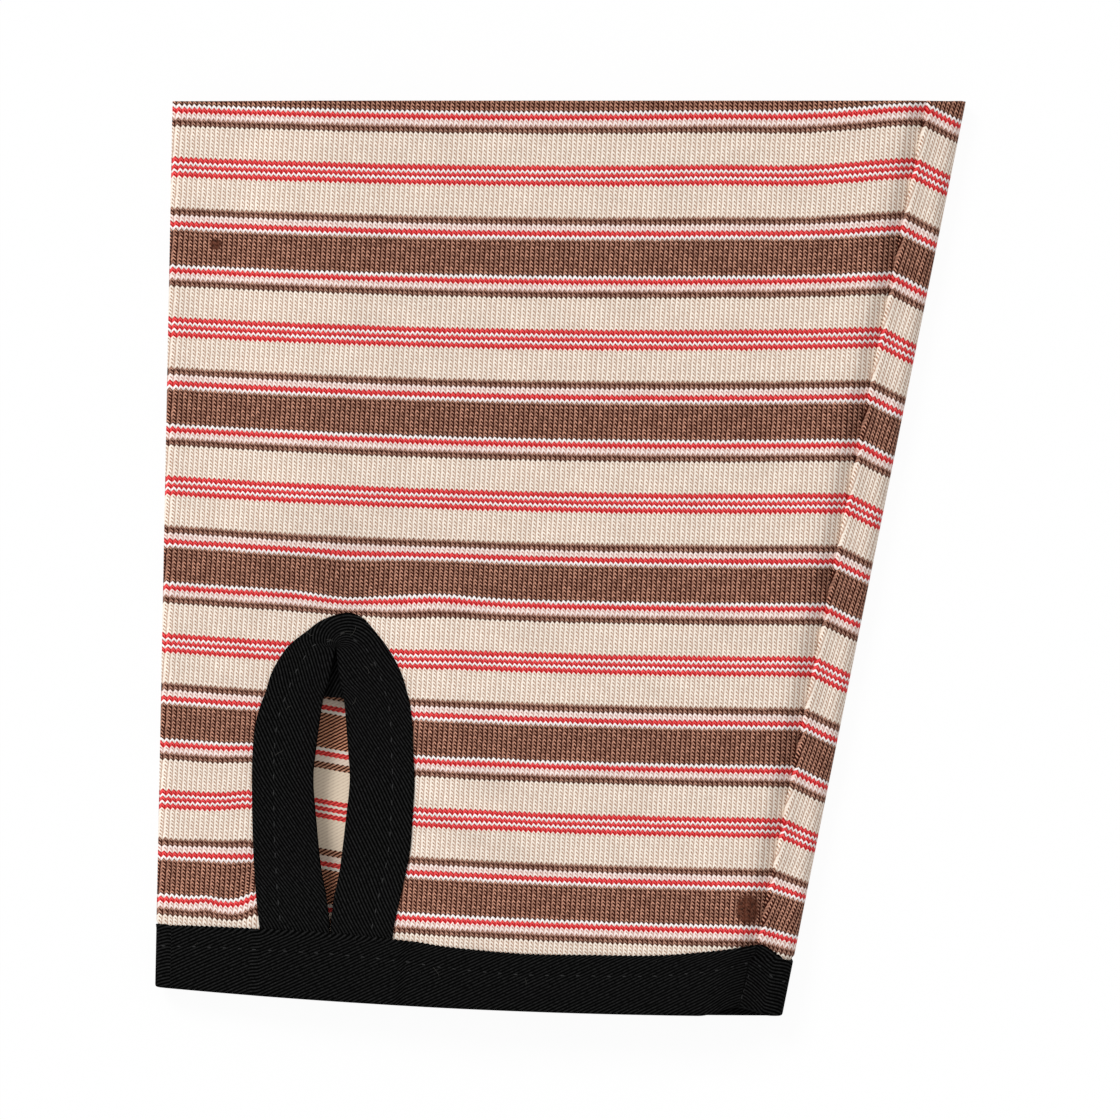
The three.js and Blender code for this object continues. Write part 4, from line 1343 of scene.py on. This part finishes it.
def overlock_routes():
    """Needle row in the seam, and the two looper threads that lace over the allowance's edge."""
    start, end = OVERLOCK_START, CUFF_LENGTH - OVERLOCK_END
    under = 2 * SEAM_STEP + JERSEY / 2 + LOOPER_GAP
    rows = {"needle": [], "lower": [], "upper": []}
    count = 2 * round((end - start) / OVERLOCK_STITCH)
    for i, height in enumerate(spread(start, end, count * 4)):
        rise = height / CUFF_LENGTH
        seam = tube_width(rise) - SEAM_FROM_FOLD
        swing = 0.5 - 0.5 * math.cos(math.pi * i / 4)
        lower = lerp(LOOPER_FROM_SEAM, ALLOWANCE - LOOPER_INSET, swing)
        for name, from_seam, drop in (
            ("needle", NEEDLE_FROM_SEAM, under + LOOP_DROP * swing),
            ("lower", lower, under + LOOP_DROP),
            ("upper", ALLOWANCE + LOOPER_GAP, lerp(2 * SEAM_STEP, SEAM_STEP, swing)),
        ):
            x = seam + from_seam
            rows[name].append(place(x, front_z(x, rise) - drop, rise, True))
    return rows


def join_route():
    """The short leaning row over the join of the hem binding's ends."""
    start, end = BINDING_OUTSIDE + PLAIN_RADIUS, HEM_WIDTH - BINDING_OUTSIDE - SEAM_RADIUS
    route = []
    for up in spread(JOIN_FOOT, JOIN_HEAD, 24):
        foot_x = HEM_WIDTH - JOIN_FROM_FOLD + JOIN_LEAN * up
        turn = (foot_x - start) / (end - start)
        lift = OUTER_PLY + PLY / 2 - JOIN_SINK + JOIN_LIFT * math.sin(up * math.pi / JOIN_STITCH) ** 2
        route.append(hem_place(turn, up, lift, hem_top(turn)))
    return route


# Lint: lengths and bends of the fibres, how high they lie, and where they lie on the bindings
FIBRE_LENGTHS = (0.5, 2.2)
FIBRE_BEND = 0.6
FIBRE_POINTS = 8
KEYHOLE_FIBRE_LIFT = 0.12
HEM_FIBRE_LIFT = 0.1
ACROSS_KEYHOLE_SHARES = (0.15, 0.85)
UP_HEM = (1.6, 9.5)
LEFT_OF_HEM = 6
RIGHT_OF_HEM = 8
LEGS_FREE = 4


def fibre_routes(count):
    """Loose fibres lying on the bindings."""
    draw = random.Random(7)
    routes = []
    stations = keyhole_stations()
    left = left_fold_x(0)
    for _ in range(count):
        lift = OUTER_PLY + PLY / 2
        if draw.random() < 0.5:
            fold, edge = stations[draw.randrange(LEGS_FREE, len(stations) - LEGS_FREE)]
            at = fold.lerp(edge, draw.uniform(*ACROSS_KEYHOLE_SHARES))
            lift += KEYHOLE_FIBRE_LIFT
        else:
            x = draw.uniform(left + LEFT_OF_HEM, left + HEM_WIDTH - RIGHT_OF_HEM)
            at = plan_point(x, draw.uniform(*UP_HEM))
            lift += HEM_FIBRE_LIFT + leg_swell(x - left)
        heading = draw.uniform(0, math.tau)
        bend = draw.uniform(-FIBRE_BEND, FIBRE_BEND)
        length = draw.uniform(*FIBRE_LENGTHS)
        route = []
        for _ in range(FIBRE_POINTS):
            route.append(Vector((at.x, at.y, front_z_over(at.x, at.y) + lift)))
            at = at + Vector((math.cos(heading), math.sin(heading))) * length / (FIBRE_POINTS - 1)
            heading += bend / 2
        routes.append(route)
    return routes


# Operators
class CUFF_OT_jersey(bpy.types.Operator):
    """Knits the striped tube with its keyhole slit"""

    bl_idname = "cuff.jersey"
    bl_label = "Jersey tube"

    def execute(self, context):
        piece = settle(make_jersey(context.scene.cuff_knit), "jersey", "sleeve_panel")
        return {"FINISHED"}


class CUFF_OT_bindings(bpy.types.Operator):
    """Folds the twill strips over the keyhole and the hem"""

    bl_idname = "cuff.bindings"
    bl_label = "Twill bindings"

    def execute(self, context):
        twill = context.scene.cuff_twill
        keyhole, length = make_keyhole_binding(twill)
        settle(keyhole, "twill", "keyhole_binding")
        hem, length = make_hem_binding(twill)
        settle(hem, "twill", "hem_binding")
        return {"FINISHED"}


class CUFF_OT_topstitching(bpy.types.Operator):
    """Sews the bindings down and joins the hem binding's two ends"""

    bl_idname = "cuff.topstitching"
    bl_label = "Topstitching"

    def execute(self, context):
        sewing = context.scene.cuff_sewing
        dark = thread_material("Black spun polyester thread", sewing.dark, 0.55)
        for edge, route in (("Keyhole", keyhole_stitch_route), ("Hem", hem_stitch_route)):
            for kind, side in (("needle", 1), ("bobbin", -1)):
                name = f"{edge}_{kind}_thread"
                piece = thread_piece(name, [route(side, sewing.pitch)], sewing.radius, dark)
                settle(piece, "dark_thread", f"{edge.lower()}_topstitch_{kind}_thread")
        piece = thread_piece("Join_thread", [join_route()], sewing.radius, dark)
        settle(piece, "dark_thread", "hem_binding_join_thread")
        return {"FINISHED"}


class CUFF_OT_overlock(bpy.types.Operator):
    """Sews the overlock on the seam allowance inside the tube"""

    bl_idname = "cuff.overlock"
    bl_label = "Overlock"

    def execute(self, context):
        sewing = context.scene.cuff_sewing
        pale = thread_material("Beige spun polyester thread", sewing.pale, 0.7)
        nodes = {
            "needle": "overlock_needle_thread",
            "lower": "overlock_lower_looper_thread",
            "upper": "overlock_upper_looper_thread",
        }
        for name, route in overlock_routes().items():
            piece = thread_piece("Overlock_" + name, [route], sewing.radius, pale)
            settle(piece, "pale_thread", nodes[name])
        return {"FINISHED"}


class CUFF_OT_lint(bpy.types.Operator):
    """Drops loose fibres on the black bindings"""

    bl_idname = "cuff.lint"
    bl_label = "Lint"

    def execute(self, context):
        sewing = context.scene.cuff_sewing
        # Loose cotton hairs: dull, short and grey against the black
        pale = thread_material("Loose cotton fibre", sewing.lint, 0.9)
        piece = thread_piece("Lint", fibre_routes(sewing.fibres), sewing.lint_radius, pale)
        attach(piece, "root")
        return {"FINISHED"}


# Stage: size of the paper and how far it lies below the cuff, heading of the window's light, its
# degrees from straight down and its softness, how white the paper looks, then the camera's
# place, its sensor and the height that its frame is set to
FLOOR_SIZE = 6
FLOOR_DROP = 0.05 * MM
SUN_HEADING = (0.62, -0.78)
SUN_TILT = 48
SUN_SPREAD = 22
GLOW_SHARE = 0.95
VIEW_MIDDLE = (0.15 * MM, -0.27 * MM)
SENSOR = 36
FRAME_HEIGHT = 5 * MM


class CUFF_OT_stage(bpy.types.Operator):
    """Sets the floor, the light and the camera straight above"""

    bl_idname = "cuff.stage"
    bl_label = "Stage"

    def execute(self, context):
        stage = context.scene.cuff_stage
        bpy.ops.object.select_all(action="DESELECT")
        bpy.ops.mesh.primitive_plane_add(size=FLOOR_SIZE, location=(0, 0, -FLOOR_DROP))
        floor = context.object
        floor.name = "floor"
        # Uncoated white paper: it lights the cuff from below, and the camera sees it plain white
        material, tree = new_material("White paper")
        paper = add_node(tree, "ShaderNodeBsdfDiffuse", {"Color": (0.9, 0.9, 0.9, 1)})
        glow = add_node(tree, "ShaderNodeEmission", {"Color": (1, 1, 1, 1), "Strength": 1.0})
        ray = add_node(tree, "ShaderNodeLightPath")
        seen = add_node(tree, MATH, {
            0: ray.outputs["Is Camera Ray"], 1: ray.outputs["Is Glossy Ray"],
        }, operation="ADD")
        seen = add_node(tree, MATH, {
            0: seen, 1: ray.outputs["Is Transmission Ray"],
        }, operation="ADD", use_clamp=True)
        seen = add_node(tree, MATH, {0: seen, 1: GLOW_SHARE}, operation="MULTIPLY")
        both = add_node(tree, "ShaderNodeMixShader", {0: seen, 1: paper, 2: glow})
        add_node(tree, "ShaderNodeOutputMaterial", {"Surface": both})
        floor.data.materials.append(material)

        world = bpy.data.worlds.new("Studio")
        context.scene.world = world
        world.use_nodes = True
        world.node_tree.nodes.clear()
        back = add_node(world.node_tree, "ShaderNodeBackground", {
            "Color": (1, 1, 1, 1), "Strength": stage.sky,
        })
        add_node(world.node_tree, "ShaderNodeOutputWorld", {"Surface": back})
        tilt = math.radians(SUN_TILT)
        bpy.ops.object.light_add(type="SUN", location=(-1, 1, 1), rotation=(0, 0, 0))
        key = context.object
        key.name = "Window light"
        toward = Vector((*SUN_HEADING, 0)).normalized() * math.sin(tilt)
        toward.z = -math.cos(tilt)
        key.rotation_euler = toward.to_track_quat("-Z", "Y").to_euler()
        key.data.energy = math.pi * stage.sun / math.cos(tilt)
        key.data.angle = math.radians(SUN_SPREAD)

        bpy.ops.object.camera_add(location=(*VIEW_MIDDLE, stage.distance), rotation=(0, 0, 0))
        camera = context.object
        camera.data.sensor_width = SENSOR
        camera.data.lens = SENSOR * (stage.distance - FRAME_HEIGHT) / stage.view_width
        camera.data.clip_end = 20
        context.scene.camera = camera
        context.scene.view_settings.view_transform = "Standard"
        return {"FINISHED"}


class CUFF_PT_panel(bpy.types.Panel):
    """Makes the cuff piece by piece"""

    bl_idname = "CUFF_PT_panel"
    bl_label = "Striped jersey cuff"
    bl_space_type = "VIEW_3D"
    bl_region_type = "UI"
    bl_category = "Cuff"

    def draw(self, context):
        for operator in OPERATORS:
            self.layout.operator(operator.bl_idname)
        for name in GROUPS:
            group = getattr(context.scene, name)
            box = self.layout.box()
            for setting in group.__annotations__:
                box.prop(group, setting)


OPERATORS = (
    CUFF_OT_stage, CUFF_OT_jersey, CUFF_OT_bindings, CUFF_OT_topstitching, CUFF_OT_overlock,
    CUFF_OT_lint,
)
GROUPS = {
    "cuff_knit": CuffKnit, "cuff_twill": CuffTwill, "cuff_sewing": CuffSewing, "cuff_stage": CuffStage,
}


def register():
    for item in (*GROUPS.values(), *OPERATORS, CUFF_PT_panel):
        bpy.utils.register_class(item)
    for name, group in GROUPS.items():
        setattr(bpy.types.Scene, name, PointerProperty(type=group))


def unregister():
    for name in GROUPS:
        delattr(bpy.types.Scene, name)
    for item in reversed((*GROUPS.values(), *OPERATORS, CUFF_PT_panel)):
        bpy.utils.unregister_class(item)


def main():
    register()
    bpy.ops.cuff.stage()
    bpy.ops.cuff.jersey()
    bpy.ops.cuff.bindings()
    bpy.ops.cuff.topstitching()
    bpy.ops.cuff.overlock()
    bpy.ops.cuff.lint()


if __name__ == "__main__":
    main()
